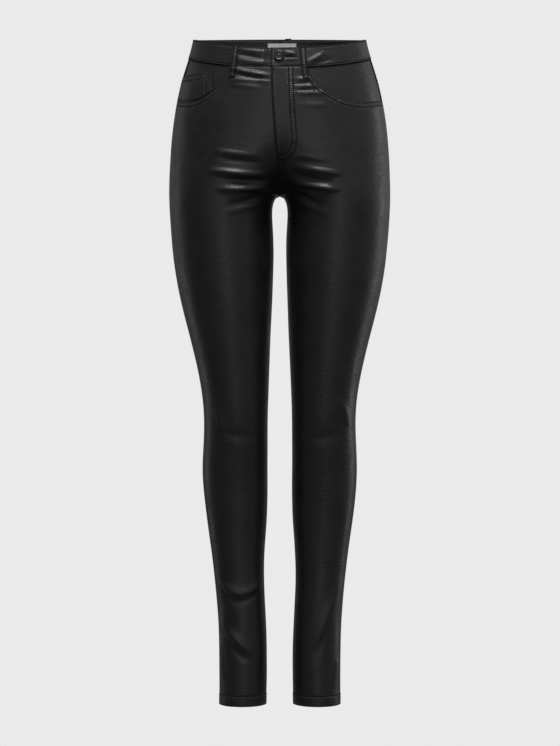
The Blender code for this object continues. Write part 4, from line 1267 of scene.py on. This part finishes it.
def build_loop(loop):
    top = band_top(loop.top_turn) + loop.head
    foot = band_seam(loop.top_turn) - LOOP_TAIL

    def turn_of(u, v):
        turn = mix(loop.top_turn, loop.foot_turn, v)
        return turn + degrees_for(LOOP_WIDTH, turn, mix(top, foot, v)) * (u - 0.5)

    def out_of(turn, z, u, v):
        on_band = ease((z - band_seam(turn) + 0.004) / 0.004)
        off = BAND_PROUD * on_band + LOOP_BOW * np.sin(np.pi * np.clip(v, 0, 1)) ** 0.8
        ribs = 0.00025 * np.cos(2 * np.pi * u) ** 2
        return 0.0016 + off + ribs + rolled(u, v, LOOP_WIDTH, top - foot, 0.0009, 0.0005)

    def out_on_row(turn, z):
        u = np.full(np.shape(z), LOOP_ROW)
        return out_of(turn, z, u, (top - z) / (top - foot))

    v = np.linspace(0.02, 0.98, 60)
    for kind, u in (("a", LOOP_ROW), ("b", 1 - LOOP_ROW)):
        row(loop.name, kind, loop.side, turn_of(u, v), mix(top, foot, v), out_on_row)
    for v in (0.03, 0.95):
        tack(loop.name, loop.side, turn_of(0.5, v), mix(top, foot, v), LOOP_WIDTH * 1.02, 0, out_on_row)
    points = patch_points(loop.side, even(14), close_edges(44, 0.02), turn_of,
                          lambda u, v, t: mix(top, foot, v), out_of)
    finish_cloth(loop.name, points, wall=LOOP_WALL)


for loop in LOOPS:
    build_loop(loop)

# %% Button and label
BUTTON_X, BUTTON_Z = -0.0010, -0.0225
LABEL_OUT, LABEL_WALL = -0.0028, 0.0008


def build_button():
    """A worn ring-top button, turned about its own axis."""
    profile = [(0.0, 0.0027), (0.0012, 0.0027), (0.0019, 0.0024), (0.0027, 0.0022), (0.0048, 0.0021),
               (0.0055, 0.0023), (0.0061, 0.0027), (0.0070, 0.0028), (0.0078, 0.0025), (0.0083, 0.0018),
               (0.0083, 0.0013), (0.0078, 0.0009), (0.0066, 0.0007), (0.0030, 0.0007), (0.0030, 0.0)]
    turn = turn_at_x(BUTTON_X, BUTTON_Z, FRONT)
    seat, ahead = with_outward(LEFT, turn, BUTTON_Z, BAND_PROUD + 0.0003, True)
    axis = Vector(ahead).normalized()
    across = axis.cross(Vector((0, 0, 1))).normalized()
    above = across.cross(axis)
    bm = bmesh.new()
    steps, rings = 64, []
    for radius, out in profile:
        ring = []
        for i in range(steps):
            angle = 2 * math.pi * i / steps
            place = Vector(seat) + axis * out + (across * math.cos(angle) + above * math.sin(angle)) * radius
            ring.append(bm.verts.new(place))
        rings.append(ring)
    for lower, upper in zip(rings, rings[1:]):
        for i in range(steps):
            bm.faces.new((lower[i], lower[(i + 1) % steps], upper[(i + 1) % steps], upper[i]))
    bmesh.ops.remove_doubles(bm, verts=bm.verts, dist=0.00002)
    bmesh.ops.recalc_face_normals(bm, faces=bm.faces)
    mesh = bpy.data.meshes.new("button_turned")
    bm.to_mesh(mesh)
    bm.free()
    mesh.shade_smooth()
    mesh.materials.append(METAL)
    button = show("button_turned", mesh)
    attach(button, "root")
    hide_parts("button")


def build_label():
    top, width, height, middle = band_top(90.0) - 0.006, 0.048, 0.022, 0.0035
    points = patch_points(
        LEFT, even(40), even(20), lambda u, v: turn_at_x(middle + width * (u - 0.5), top, BACK),
        lambda u, v, t: top - height * v, level_at(LABEL_OUT), False)
    finish_cloth("waist_label", points, material=LABEL, wall=LABEL_WALL)


build_button()
build_label()
slider_materials = bpy.data.objects["zip_slider"].data.materials
slider_materials.clear()
slider_materials.append(METAL)
print("hardware made: button and slider in", METAL.name)

# %% [markdown]
# The thread itself. All the stitches on one pattern piece are one mesh, so that a piece and its
# sewing can be shown or hidden together.

# %% Thread
STATIONS = np.array([0.0, 0.16, 0.5, 0.84, 1.0])
SWELL = np.array([0.25, 0.85, 1.0, 0.85, 0.25])
RISE = np.array([-0.9, 0.25, 0.75, 0.25, -0.9])
SIDES = 6
STITCH_SHARE = 0.84  # of the pitch that a stitch covers
TACK_REACH = 0.0020


def rice_grains(centres, along, normals):
    """Tapered threads. centres, along and normals are (stitch, station, axis) arrays."""
    beside = np.cross(along, normals)
    angle = np.arange(SIDES) * 2 * math.pi / SIDES
    lifted = centres + normals * (THREAD_RADIUS * RISE)[:, None]
    ring = normals[:, :, None] * np.cos(angle)[:, None] + beside[:, :, None] * np.sin(angle)[:, None]
    ring = ring * (THREAD_RADIUS * SWELL)[:, None, None]
    verts = (lifted[:, :, None] + ring).reshape(-1, 3)
    count, stations = len(centres), len(STATIONS)
    first = np.arange(count)[:, None, None] * stations * SIDES
    station = np.arange(stations - 1)[None, :, None] * SIDES
    side = np.arange(SIDES)[None, None, :]
    a = first + station + side
    b = first + station + (side + 1) % SIDES
    faces = np.stack([a, b, b + SIDES, a + SIDES], axis=-1).reshape(-1, 4)
    return verts, faces


def stitches_of(item):
    """Centres and directions of a row's stitches."""
    length = (len(item.turn) - 1) * ROW_STEP
    count = int(length / PITCH)
    if count < 1:
        return None
    starts = (np.arange(count) + 0.08) * length / count
    place = starts[:, None] + STATIONS * PITCH * STITCH_SHARE
    index = np.arange(len(item.turn)) * ROW_STEP
    turn, z = np.interp(place, index, item.turn), np.interp(place, index, item.z)
    return framed(item.side, turn, z, item.out, item.folded)


def framed(side, turn, z, out, folded):
    centres, normals = with_outward(side, turn, z, out, folded)
    normals /= np.linalg.norm(normals, axis=-1, keepdims=True)
    along = np.gradient(centres, axis=1)
    along /= np.maximum(np.linalg.norm(along, axis=-1, keepdims=True), 1e-9)
    return centres, along, normals


def tack_stitches(side, turn, z, lean, out, folded):
    """Short crosswise stitches, side by side along the tack."""
    across = degrees_for(1.0, turn, z)
    c, s = math.cos(math.radians(lean + 90)), math.sin(math.radians(lean + 90))
    reach = (STATIONS - 0.5) * TACK_REACH
    return framed(side, turn[:, None] + reach * c * across[:, None], z[:, None] + reach * s, out, folded)


def sew_thread(piece):
    verts, faces, total = [], [], 0
    sets = [stitches_of(item) for item in STITCHED if item.piece == piece]
    sets += [tack_stitches(*item[1:]) for item in TACKS if item[0] == piece]
    for made in sets:
        if made is None:
            continue
        points, quads = rice_grains(*made)
        verts.append(points)
        faces.append(quads + total)
        total += len(points)
    mesh = bpy.data.meshes.new("stitches_" + piece)
    mesh.from_pydata(np.concatenate(verts).tolist(), [], np.concatenate(faces).tolist())
    mesh.shade_smooth()
    mesh.materials.append(THREAD)
    thread = show("stitches_" + piece, mesh)
    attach(thread, "root")
    return len(mesh.polygons)


sewn_faces = {piece: sew_thread(piece) for piece in sorted({item.piece for item in STITCHED})}
print("thread faces:", sum(sewn_faces.values()), max(sewn_faces.values()))
